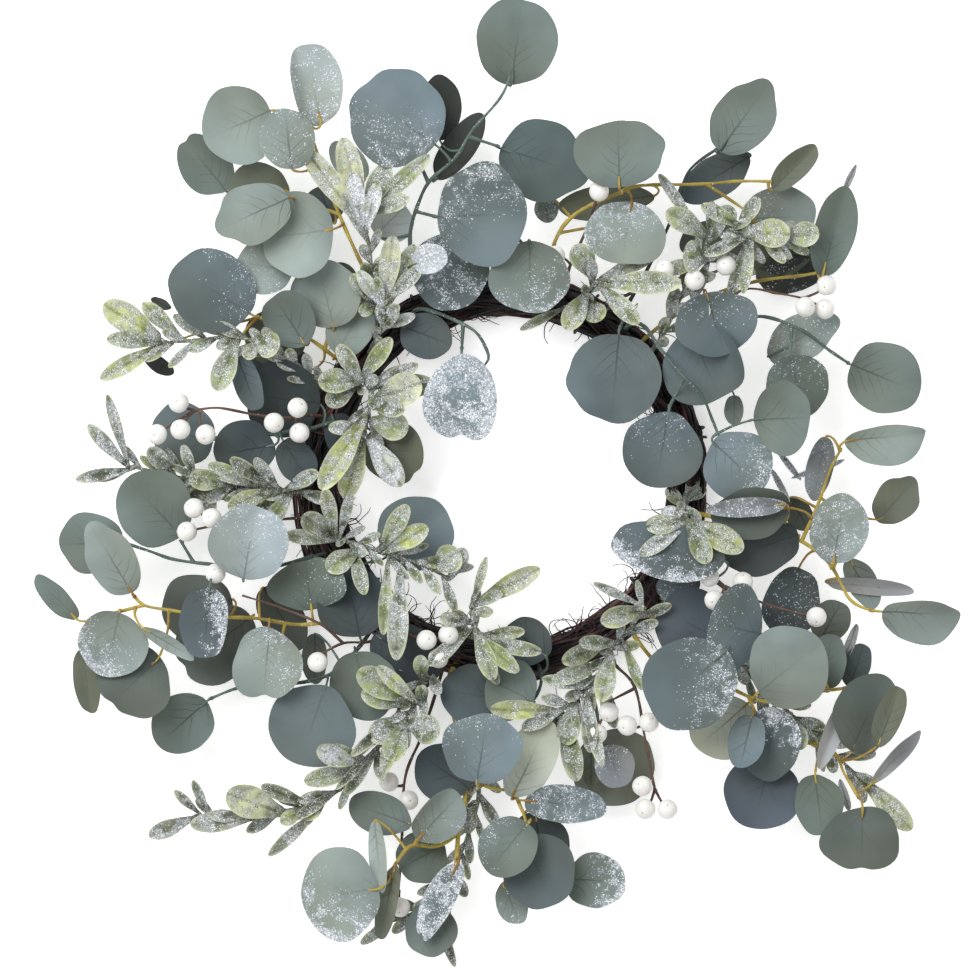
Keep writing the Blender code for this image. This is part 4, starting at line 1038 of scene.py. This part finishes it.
# Mistletoe. A leaf is x0, y0 at its stem, x1, y1 at its tip, width, layer and tone
sprigTones = {
    "lime": "B2BB6A", "fern": "8B9960", "leaf": "64734A", "grey": "6F7868", "cream": "C9CDA2",
    "silver": "C2C8BE", "pine": "3A4229",
}
sprigFrosts = {"grey": 0.95, "silver": 2.0, "pine": 0.3}
mistletoe = {
    "mistletoe_top_left": {
        "root": 133,
        "stem": [(-79, 100, 32), (-80, 118, 44), (-81, 137, 54), (-86, 158, 60)],
        "leaves": [
            (-89, 150, -120, 197, 12, 5, "cream"), (-85, 160, -97, 203, 13, 5, "cream"),
            (-78, 160, -45, 193, 9, 5, "fern"), (-80, 158, -70, 188, 12, 5, "leaf"),
            (-86, 148, -92, 184, 9, 6, "silver"), (-82, 146, -76, 176, 8, 6, "silver"),
            (-73, 164, -57, 167, 9, 5, "fern"), (-80, 104, -92, 122, 8, 4, "fern"),
            (-72, 105, -87, 98, 7, 4, "fern"),
        ],
    },
    "mistletoe_high": {
        "root": 139,
        "stem": [(-79, 81, 32), (-74, 90, 42), (-72, 104, 48)],
        "leaves": [
            (-72, 107, -67, 145, 11, 4, "cream"), (-65, 107, -54, 140, 10, 4, "fern"),
            (-72, 89, -54, 98, 6, 3, "silver"), (-66, 118, -50, 126, 8, 5, "leaf"),
            (-74, 102, -88, 124, 8, 4, "silver"),
        ],
    },
    "mistletoe_inner_left": {
        "root": 151,
        "stem": [(-88, 56, 32), (-80, 52, 40), (-82, 38, 42), (-85, 25, 42)],
        "leaves": [
            (-84, 68, -112, 58, 13, 3, "fern"), (-90, 56, -107, 44, 11, 3, "leaf"),
            (-72, 47, -50, 57, 17, 4, "cream"), (-63, 62, -42, 56, 12, 3, "leaf"),
            (-78, 35, -58, 29, 15, 4, "fern"), (-87, 38, -110, -7, 13, 5, "lime"),
            (-87, 17, -96, -12, 13, 4, "lime"), (-78, 20, -62, -5, 13, 4, "silver"),
            (-72, 71, -58, 66, 7, 3, "fern"), (-88, 60, -68, 84, 9, 4, "fern"),
            (-84, 58, -100, 80, 9, 4, "leaf"), (-78, 56, -52, 68, 9, 4, "grey"),
            (-86, 30, -106, 30, 9, 4, "grey"), (-84, 44, -60, 40, 9, 5, "leaf"),
        ],
    },
    "mistletoe_left_high": {
        "root": 155,
        "stem": [(-114, 58, 28), (-135, 76, 46), (-160, 84, 54), (-190, 82, 56), (-205, 81, 56)],
        "leaves": [
            (-213, 89, -240, 104, 15, 5, "lime"), (-204, 82, -238, 83, 9, 4, "fern"),
            (-207, 77, -242, 59, 9, 4, "lime"), (-195, 92, -217, 105, 9, 4, "fern"),
            (-159, 90, -185, 95, 9, 4, "fern"), (-150, 86, -135, 77, 14, 5, "lime"),
            (-161, 80, -172, 52, 12, 5, "fern"), (-148, 83, -155, 71, 8, 5, "lime"),
        ],
    },
    "mistletoe_left": {
        "root": 184,
        "stem": [(-128, -8, 28), (-160, -4, 38), (-189, -1, 39), (-225, 7, 38)],
        "leaves": [
            (-237, 8, -250, 32, 9, 4, "grey"), (-198, 5, -213, 18, 11, 4, "grey"),
            (-165, -2, -189, 0, 11, 4, "fern"), (-180, -8, -176, -22, 9, 3, "grey"),
            (-234, 11, -238, 50, 7, 4, "grey"), (-225, 2, -257, -1, 8, 4, "grey"),
            (-186, 5, -193, 20, 7, 4, "grey"), (-150, -4, -178, 8, 9, 4, "fern"),
            (-140, -6, -166, -18, 10, 4, "lime"), (-132, -8, -112, 4, 8, 4, "leaf"),
            (-136, -6, -150, 12, 8, 4, "grey"), (-128, -10, -142, -28, 9, 4, "fern"),
            (-124, -8, -104, -14, 8, 3, "grey"), (-144, -5, -156, -22, 8, 3, "pine"),
            (-146, -8, -180, -8, 12, 3, "pine"), (-172, -2, -192, -16, 11, 3, "pine"),
            (-140, -2, -164, 12, 9, 5, "pine"), (-134, -12, -148, -22, 9, 3, "pine"),
        ],
    },
    "mistletoe_inner_low": {
        "root": 197,
        "stem": [(-98, -37, 34), (-75, -44, 44), (-50, -52, 46), (-34, -60, 46)],
        "leaves": [
            (-75, -40, -58, -16, 10, 5, "fern"), (-72, -43, -46, -29, 11, 5, "lime"),
            (-90, -49, -107, -55, 12, 4, "fern"), (-45, -55, -27, -44, 15, 4, "fern"),
            (-26, -66, -24, -42, 11, 4, "grey"), (-69, -73, -65, -109, 13, 4, "grey"),
            (-108, -40, -121, -22, 12, 4, "leaf"), (-72, -58, -73, -94, 7, 4, "fern"),
            (-102, -38, -108, -6, 8, 4, "fern"), (-98, -34, -92, -8, 7, 4, "grey"),
            (-106, -44, -132, -34, 8, 4, "leaf"), (-92, -44, -84, -70, 8, 4, "leaf"),
        ],
    },
    "mistletoe_bottom_inner": {
        "root": 262,
        "stem": [(-16, -100, 32), (-20, -85, 40), (-20, -75, 42)],
        "leaves": [
            (-12, -70, 21, -54, 11, 4, "lime"), (-15, -88, -7, -121, 10, 4, "fern"),
            (-18, -77, -1, -68, 6, 4, "fern"), (-21, -80, -7, -80, 6, 4, "fern"),
            (-18, -73, -11, -47, 5, 4, "fern"), (-27, -88, -39, -83, 8, 4, "fern"),
            (-20, -94, 8, -116, 9, 4, "fern"), (-14, -98, 22, -104, 8, 4, "leaf"),
            (-20, -98, -4, -124, 8, 3, "grey"), (-24, -92, -46, -112, 8, 4, "leaf"),
            (-12, -94, 12, -92, 7, 3, "fern"),
        ],
    },
    "mistletoe_bottom": {
        "root": 303,
        "stem": [(62, -104, 32), (56, -118, 40), (44, -132, 42), (32, -140, 44)],
        "branches": [[(62, -105, 33), (74, -92, 40), (84, -78, 42)]],
        "leaves": [
            (63, -97, 34, -110, 10, 4, "fern"), (24, -140, -9, -138, 10, 4, "lime"),
            (42, -136, 36, -160, 12, 4, "fern"), (40, -150, 43, -182, 11, 3, "leaf"),
            (52, -133, 51, -164, 10, 4, "grey"), (66, -106, 57, -133, 11, 5, "fern"),
            (87, -73, 57, -86, 11, 4, "fern"), (81, -68, 53, -63, 6, 3, "grey"),
            (75, -103, 82, -127, 6, 4, "fern"), (70, -100, 44, -98, 8, 4, "leaf"),
            (60, -112, 28, -122, 9, 4, "fern"), (50, -126, 22, -120, 8, 4, "grey"),
            (56, -118, 66, -150, 8, 4, "leaf"), (46, -130, 58, -172, 8, 4, "grey"),
            (36, -138, 10, -150, 8, 4, "leaf"),
        ],
    },
    "mistletoe_left_low": {
        "root": 240, "smallEvery": 4,
        "stem": [
            (-58, -116, 28), (-66, -145, 36), (-84, -172, 42), (-104, -190, 44), (-129, -199, 46),
            (-160, -203, 46), (-187, -203, 46),
        ],
        "leaves": [
            (-189, -205, -213, -214, 11, 4, "grey"), (-153, -205, -177, -201, 8, 4, "grey"),
            (-131, -204, -166, -188, 17, 5, "cream"), (-116, -196, -146, -184, 9, 4, "pine"),
            (-87, -175, -120, -181, 10, 4, "fern"), (-84, -169, -111, -163, 12, 4, "fern"),
            (-108, -190, -121, -204, 9, 4, "lime"), (-177, -199, -187, -181, 6, 4, "grey"),
            (-183, -196, -198, -187, 6, 4, "grey"), (-105, -208, -142, -227, 8, 3, "grey"),
            (-120, -200, -134, -206, 8, 5, "lime"), (-148, -204, -188, -207, 13, 4, "grey"),
            (-90, -170, -112, -161, 11, 5, "silver"), (-100, -186, -126, -204, 7, 4, "pine"),
            (-62, -142, -92, -166, 7, 5, "pine"), (-70, -150, -103, -176, 6, 4, "pine"),
            (-76, -158, -96, -190, 7, 4, "leaf"), (-66, -146, -72, -176, 8, 5, "fern"),
            (-80, -160, -101, -186, 5, 5, "pine"),
        ],
    },
    "mistletoe_low_cluster": {
        "root": 247,
        "stem": [(-46, -118, 34), (-54, -134, 46), (-60, -146, 50)],
        "leaves": [
            (-57, -133, -88, -115, 15, 5, "fern"), (-63, -132, -86, -128, 12, 4, "fern"),
            (-63, -142, -81, -156, 13, 4, "leaf"), (-63, -148, -69, -169, 13, 5, "fern"),
            (-58, -154, -39, -152, 15, 5, "leaf"), (-45, -139, -76, -112, 8, 5, "lime"),
            (-54, -121, -51, -106, 8, 4, "fern"), (-33, -142, -51, -124, 7, 4, "fern"),
        ],
    },
    "mistletoe_top_inner": {
        "root": 66,
        "stem": [(48, 106, 32), (52, 115, 42), (56, 119, 46)],
        "leaves": [
            (60, 113, 80, 92, 10, 4, "fern"), (48, 113, 36, 89, 12, 4, "lime"),
            (51, 107, 57, 94, 12, 4, "lime"), (51, 125, 42, 140, 13, 3, "leaf"),
            (57, 116, 105, 116, 12, 5, "fern"), (60, 122, 90, 134, 10, 4, "grey"),
            (8, 101, 9, 89, 5, 3, "leaf"),
        ],
    },
    "mistletoe_right_high": {
        "root": 40,
        "stem": [
            (96, 88, 34), (106, 110, 46), (118, 132, 54), (124, 146, 58), (145, 147, 57), (166, 144, 55),
        ],
        "leaves": [
            (120, 145, 96, 159, 12, 5, "fern"), (126, 130, 106, 132, 17, 5, "fern"),
            (122, 155, 137, 162, 11, 4, "leaf"), (142, 148, 170, 145, 15, 5, "lime"),
            (168, 143, 187, 146, 13, 5, "fern"), (114, 113, 121, 96, 8, 5, "leaf"),
            (144, 131, 134, 105, 7, 4, "leaf"), (96, 158, 92, 182, 7, 4, "grey"),
            (141, 157, 117, 163, 8, 5, "fern"), (144, 136, 119, 133, 8, 5, "grey"),
            (148, 142, 142, 110, 6, 5, "fern"), (150, 146, 171, 131, 7, 5, "grey"),
            (118, 128, 95, 124, 8, 4, "fern"), (134, 124, 112, 108, 7, 4, "leaf"),
            (138, 150, 152, 168, 8, 4, "leaf"), (128, 138, 150, 122, 8, 4, "grey"),
        ],
    },
    "mistletoe_right": {
        "root": -3,
        "stem": [(108, -14, 32), (110, -27, 42)],
        "leaves": [
            (111, -25, 142, -42, 13, 4, "fern"), (108, -31, 122, -49, 12, 4, "lime"),
            (108, -25, 83, -30, 11, 4, "fern"), (105, -37, 81, -45, 8, 4, "fern"),
            (110, -27, 142, -43, 13, 6, "lime"), (106, -30, 121, -51, 11, 6, "fern"),
            (108, -26, 84, -29, 10, 6, "fern"), (104, -33, 80, -46, 10, 6, "grey"),
            (112, -16, 116, 4, 7, 1, "leaf"), (108, -18, 98, -6, 7, 1, "fern"),
            (112, -14, 122, -6, 7, 1, "grey"), (106, -22, 93, -20, 7, 6, "silver"),
        ],
    },
    "mistletoe_corner_low": {
        "root": -37,
        "stem": [(108, -84, 26), (140, -112, 30), (172, -142, 34), (195, -163, 26), (215, -182, 30)],
        "leaves": [(173, -142, 177, -163, 11, 3, "fern"), (220, -184, 244, -211, 12, 3, "lime")],
    },
    "mistletoe_bottom_tail": {
        "root": 259,
        "stem": [
            (-20, -128, 22), (-18, -160, 24), (-16, -193, 27), (-26, -225, 29), (-39, -253, 30),
            (-60, -264, 32), (-72, -268, 32),
        ],
        "leaves": [
            (-39, -262, -30, -294, 6, 2, "grey"), (-72, -268, -81, -276, 7, 2, "grey"),
            (-30, -194, -24, -214, 10, 2, "leaf"),
        ],
    },
}


def smallLeaves(route, every, draw):
    # narrow frosted leaves that stand along the stem, leaning forwards, left and right in turn
    poses = []
    for index in range(1, len(route) - 1, every):
        growth = (route[index + 1] - route[index]).normalized()
        turn = 1 if len(poses) % 2 else -1
        lean = Matrix.Rotation(turn * draw.uniform(*sprigSettings["smallLean"]), 3, "Z")
        heading = lean @ growth + up * draw.uniform(-0.1, 0.5)
        along = heading.normalized() * draw.uniform(*sprigSettings["smallLength"])
        side = Vector((-along.y, along.x, 0)).normalized()
        colour = tint(sprigTones[draw.choice(("fern", "leaf", "grey"))])
        poses.append({
            "base": route[index].copy(), "along": along, "side": side,
            "half": draw.uniform(*sprigSettings["smallWidth"]) / 2, "roll": draw.uniform(-0.4, 0.4),
            "thick": sprigSettings["smallThick"], "tone": colour, "under": colour, "form": "oblong",
            "frost": sprigSettings["smallFrost"],
            "frostSide": None, "seed": draw.uniform(0, 6), "arch": 0.4, "cup": draw.uniform(-0.3, 0.5),
        })
    return poses


def joinStem(growing, pose):
    # runs the blade's narrow end back towards its stem, its tip kept where it is
    root = nearestOn(growing, pose["base"].x, pose["base"].y)[0]
    back = (root - pose["base"]) * sprigSettings["lengthen"]
    if pose["loose"]:
        back.z = 0
    pose["base"] = pose["base"] + back
    pose["along"] = pose["along"] - back
    pose["side"] = Vector((-pose["along"].y, pose["along"].x, 0)).normalized()
    pose["half"] *= 1.0 if pose["thin"] else sprigSettings["widen"]


def mistletoeSprig(node, plant):
    draw = random.Random(node)
    points = solidPoints(node)
    poses = []
    routes, growing = stemRoutes(plant)
    for row in plant["leaves"]:
        pose = poseOf(points, row, "mistletoe")
        shade = draw.uniform(0.82, 1.2)
        colour = [channel * shade for channel in tint(sprigTones[row[6]])]
        pose.update(thick=sprigSettings["thick"], tone=colour, under=colour, form="oblong")
        pose.update(frost=sprigFrosts.get(row[6], draw.uniform(0.55, 0.85)), frostSide=None)
        pose.update(seed=draw.uniform(0, 6), arch=1.0, cup=draw.uniform(0.15, 0.5))
        pose.update(loose=row[5] == 6, thin=row[6] in ("grey", "pine"))
        joinStem(growing, pose)
        poses.append(pose)
    tubes = stemTubes(routes, sprigSettings["gauge"], 1, draw)
    tubes += [petioleTube(growing, pose, sprigSettings["stalk"], 1) for pose in poses]
    every = plant.get("smallEvery", sprigSettings["smallEvery"])
    small = [pose for route in growing for pose in smallLeaves(route, every, draw)]
    bm = bmesh.new()
    addWires(bm, tubes, 2)
    layers = newLayers(bm)
    for group, grid in ((poses, "grid"), (small, "smallGrid")):
        for pose in group:
            growSheet(bm, layers, pose, sprigSettings[grid], mistletoeShape)
    addPiece(node, bm, (sprigSkin, wires["silver"]))


# Berries on thin brown twigs
berrySettings = {"radius": 6.1, "segments": 20, "rings": 14, "squash": 0.95, "dimple": 0.5, "gauge": 1.1}
berries = {
    "berries_left": {
        "root": 161,
        "stem": [(-118, 38, 32), (-130, 36, 46), (-150, 38, 52), (-172, 42, 54), (-188, 40, 54)],
        "berries": [
            (-195, 45, 60), (-208, 26, 58), (-194, 29, 60), (-179, 26, 58), (-138, 33, 62),
            (-124, 42, 60), (-123, 27, 56),
        ],
    },
    "berries_left_low": {
        "root": 192,
        "stem": [(-124, -24, 30), (-150, -26, 48), (-172, -28, 56)],
        "branches": [[(-158, -27, 51), (-168, -45, 56)]],
        "berries": [(-190, -32, 60), (-186, -18, 60), (-175, -24, 66), (-173, -57, 60)],
    },
    "berries_low_left": {
        "root": 233,
        "stem": [(-80, -98, 36), (-97, -99, 50), (-111, -106, 58)],
        "branches": [[(-97, -98, 51), (-111, -87, 60), (-135, -77, 66), (-157, -70, 66)]],
        "berries": [(-112, -110, 62)],
    },
    "berries_bottom_inner": {
        "root": 236.5,
        "stem": [(-58, -94, 36), (-46, -98, 46)],
        "berries": [(-47, -97, 54), (-34, -94, 50), (-40, -108, 50)],
    },
    "berries_top": {
        "root": 71,
        "stem": [(38, 124, 32), (47, 145, 46), (54, 164, 60)],
        "berries": [(56, 171, 66), (30, 133, 52)],
    },
    "berries_top_right": {
        "root": 60,
        "stem": [(70, 108, 38), (88, 116, 52), (100, 119, 56), (126, 123, 52)],
        "berries": [(95, 124, 64), (113, 118, 66), (132, 127, 58)],
    },
    "berries_right": {
        "root": 30,
        "stem": [(112, 64, 36), (124, 90, 54), (141, 112, 58), (165, 110, 58), (180, 107, 58)],
        "berries": [(192, 115, 60), (191, 101, 60), (179, 102, 66)],
    },
    "berries_lower_right": {
        "root": -22,
        "stem": [(112, -48, 36), (124, -58, 52), (133, -66, 56)],
        "branches": [[(133, -66, 56), (155, -75, 58), (180, -82, 58)]],
        "berries": [(122, -59, 60), (125, -73, 62), (142, -62, 60), (186, -83, 60)],
    },
    "berries_bottom_right": {
        "root": 299,
        "stem": [(66, -112, 34), (78, -126, 48), (84, -157, 52), (90, -188, 54)],
        "branches": [[(78, -126, 48), (62, -134, 52)]],
        "berries": [
            (62, -140, 58), (73, -148, 58), (86, -146, 60), (55, -153, 56), (82, -184, 60),
            (84, -198, 58), (97, -198, 60),
        ],
    },
    "berries_bottom_left": {
        "root": 251.5,
        "stem": [(-40, -124, 22), (-50, -155, 25), (-60, -180, 28), (-62, -215, 28), (-64, -250, 32)],
        "berries": [(-70, -183, 32), (-58, -194, 34), (-63, -258, 38)],
    },
}


def growBerry(bm, layers, centre, draw):
    # a slightly flattened ball, dimpled at its eye, which looks forwards and a little aside
    ball = bmesh.ops.create_uvsphere(
        bm, u_segments=berrySettings["segments"], v_segments=berrySettings["rings"],
        radius=berrySettings["radius"],
    )["verts"]
    lean = Matrix.Rotation(draw.uniform(0.2, 0.9), 4, "X")
    turn = Matrix.Rotation(draw.uniform(0, 2 * math.pi), 4, "Z")
    for vert in ball:
        away = vert.co.normalized()
        eye = math.exp(-(away.angle(up) / 0.24) ** 2)
        lump = noise.noise(away * 1.6 + centre * 0.1) * 0.18
        vert.co = away * (berrySettings["radius"] + lump - berrySettings["dimple"] * eye)
        vert.co.z *= berrySettings["squash"]
        vert[layers["frost"]] = eye
        vert.co = turn @ lean @ vert.co + centre


def berryPick(node, plant):
    draw = random.Random(node)
    points = solidPoints(node)
    routes, growing = stemRoutes(plant)
    tubes = stemTubes(routes, berrySettings["gauge"], 1, draw)
    centres = []
    for x, y, height in plant["berries"]:
        top = topNear(points, Vector((x, y, 0)), 2.0)
        centre = Vector((x, y, height if top is None else top - berrySettings["radius"]))
        centres.append(centre)
        root, growth = nearestOn(growing, x, y)
        bend = (root + centre) / 2 + growth * 1.5 - up * 1.0
        stalk = smoothRoute([root, bend, centre], 2.0)
        tubes.append((stalk, [0.75 + 0.5 * math.exp(-step) for step in range(len(stalk))], 1))
    bm = bmesh.new()
    addWires(bm, tubes, 1)
    layers = newLayers(bm)
    for centre in centres:
        growBerry(bm, layers, centre, draw)
    addPiece(node, bm, (berrySkin, wires["brown"]), 60)


# The ring: bound twigs that wind round one another
ringSettings = {
    "radius": 111.0, "height": 10.5, "lowest": 0.9, "strands": 170, "thin": 0.55, "thick": 1.35,
    "strays": 300, "wraps": 7, "tangleHairs": 18,
    "tangles": (112, 104, 24, 18, -58, -66, 196, 206, 232, 250, 330),
    "wrapReach": 13.4, "wrapThick": 0.9,
    "wild": 26, "wildThick": 0.8, "wildFrom": (166, 196), "wildOut": (12, 19), "wildSpan": (0.3, 0.7),
}


def ringStrand(draw, start, span, out, twist, radius, phase):
    # one twig along the ring, out from its middle, winding as it goes
    points = []
    count = max(8, round(span * 16))
    for step in range(count + 1):
        around = start + span * step / count
        across = phase + twist * (around - start)
        away = out + 2.6 * noise.noise(Vector((around * 6, phase * 3, 0)))
        reach = ringSettings["radius"] + away * math.cos(across)
        height = max(ringSettings["lowest"] + radius, ringSettings["height"] + away * math.sin(across))
        points.append(polar(reach, around, height))
    ends = [min(step, count - step, 4) / 4 for step in range(count + 1)]
    return points, [radius * (0.3 + 0.7 * end) for end in ends], draw.choice((0, 0, 0, 1, 2))


def curlingTip(draw, point, heading, bend, curl):
    # wiry points that wander on from here
    points = [point]
    for step in range(draw.randint(*curl["steps"])):
        heading += bend + draw.uniform(-curl["sway"], curl["sway"])
        point = point + polar(curl["length"], heading, draw.uniform(*curl["climb"]))
        point.z = max(2.0, point.z)
        points.append(point)
    full, taper = curl["radii"]
    radii = [full - taper * step / len(points) for step in range(len(points))]
    return points, radii, draw.choice((0, 0, 1, 2))


strayCurl = {"steps": (5, 11), "length": 2.2, "sway": 0.35, "climb": (-0.8, 0.9), "radii": (0.42, 0.25)}
hairCurl = {"steps": (6, 12), "length": 1.7, "sway": 0.2, "climb": (-0.7, 0.8), "radii": (0.34, 0.18)}


def ringStray(draw):
    # a thin wiry tip that leaves the bundle and curls
    around = draw.uniform(0, 2 * math.pi)
    inward = draw.random() < 0.6
    reach = ringSettings["radius"] + draw.uniform(4, 11) * (-1 if inward else 1)
    point = polar(reach, around, draw.uniform(8, 22))
    heading = around + draw.choice((-1, 1)) * draw.uniform(0.7, 1.6) + (math.pi if inward else 0)
    return curlingTip(draw, point, heading, draw.uniform(-0.3, 0.3), strayCurl)


def ringHair(draw, degrees):
    # a hair of a tangle on the ring's inner side, curling out over the hole and back
    around = math.radians(degrees + draw.uniform(-7, 7))
    reach = ringSettings["radius"] - draw.uniform(3, 11)
    point = polar(reach, around, draw.uniform(12, 24))
    heading = around + math.pi + draw.uniform(-1.2, 1.2)
    return curlingTip(draw, point, heading, draw.choice((-1, 1)) * draw.uniform(0.1, 0.6), hairCurl)


def ringWrap(around):
    # a twig bound tightly once round the bundle
    points = []
    wide, thick = ringSettings["wrapReach"], ringSettings["wrapThick"]
    for step in range(25):
        across = 2 * math.pi * step / 22
        reach = ringSettings["radius"] + wide * math.cos(across)
        height = max(ringSettings["lowest"] + thick, ringSettings["height"] + wide * math.sin(across))
        points.append(polar(reach, around + 0.05 * step / 22, height))
    return points, [thick] * len(points), 1


def twigRing():
    ring = ringSettings
    draw = random.Random("twig_ring")
    tubes = []
    for strand in range(ring["strands"]):
        inner = strand < ring["strands"] * 0.3
        out = draw.uniform(2.0, 7.0) if inner else draw.uniform(7.5, 11.6)
        radius = draw.uniform(ring["thin"], ring["thick"])
        span = draw.uniform(1.6, 5.0)
        start = draw.uniform(0, 7)
        twist = draw.uniform(-3.2, 3.2)
        phase = draw.uniform(0, 2 * math.pi)
        tubes.append(ringStrand(draw, start, span, out, twist, radius, phase))
    tubes += [ringWrap(2 * math.pi * wrap / ring["wraps"] + 0.2) for wrap in range(ring["wraps"])]
    for strand in range(ring["wild"]):
        # the bundle splays outwards on its left
        start = math.radians(draw.uniform(*ring["wildFrom"]))
        span = draw.uniform(*ring["wildSpan"])
        out = draw.uniform(*ring["wildOut"])
        twist = draw.uniform(-0.8, 0.8)
        phase = draw.uniform(-0.6, 0.5)
        tubes.append(ringStrand(draw, start, span, out, twist, ring["wildThick"], phase))
    bm = bmesh.new()
    addWires(bm, tubes, 1)
    addWires(bm, [ringStray(draw) for stray in range(ring["strays"])], 0)
    spots = [spot for spot in ring["tangles"] for hair in range(ring["tangleHairs"])]
    addWires(bm, [ringHair(draw, spot) for spot in spots], 0)
    addPiece("twig_ring", bm, barks, 60)


twigRing()
print("ring ready")
for node, plant in eucalyptus.items():
    eucalyptusSpray(node, plant)
print("eucalyptus ready")
for node, plant in mistletoe.items():
    mistletoeSprig(node, plant)
print("mistletoe ready")
for node, plant in berries.items():
    berryPick(node, plant)
print("berries ready")


# Floor, light and camera
studio = {
    "floor": 6.0, "floorGlow": 0.45, "sky": 0.72, "key": 40.0, "keyPlace": (-0.9, 0.9, 1.9), "keySize": 1.4,
    "frameWidth": 0.582, "distance": 3.6, "middle": (-0.008, -0.001, 0.045), "film": 36.0,
}


def floorPaint():
    board = Board("white_paper")
    place = board.objectPlace()
    grain = board.noise(place, 60.0, 3.0)
    colour = board.blend(grain, tint("FAFAFA"), tint("FFFFFF"))
    return board.finish(colour, 0.9, Emission_Color=(1, 1, 1, 1), Emission_Strength=studio["floorGlow"])


def addFloor():
    bm = bmesh.new()
    bmesh.ops.create_grid(bm, x_segments=1, y_segments=1, size=studio["floor"] / 2)
    floor = linked("floor", meshOf("floor", bm))
    floor.data.materials.append(floorPaint())


def addLight():
    world = bpy.data.worlds.new("studio")
    world.use_nodes = True
    sky = world.node_tree.nodes["Background"]
    sky.inputs["Color"].default_value = (1, 1, 1, 1)
    sky.inputs["Strength"].default_value = studio["sky"]
    bpy.context.scene.world = world
    lamp = bpy.data.lights.new("key", "AREA")
    lamp.energy = studio["key"]
    lamp.size = studio["keySize"]
    key = linked("key", lamp)
    key.location = studio["keyPlace"]
    key.rotation_euler = (-key.location).to_track_quat("-Z", "Y").to_euler()


def addCamera():
    lens = bpy.data.cameras.new("camera")
    lens.sensor_fit = "HORIZONTAL"
    lens.sensor_width = studio["film"]
    lens.lens = studio["film"] * studio["distance"] / studio["frameWidth"]
    lens.clip_end = 20
    camera = linked("camera", lens)
    camera.location = Vector(studio["middle"]) + up * studio["distance"]
    bpy.context.scene.camera = camera


addFloor()
addLight()
addCamera()
bpy.context.scene.view_settings.view_transform = "Standard"

print("piece ready")
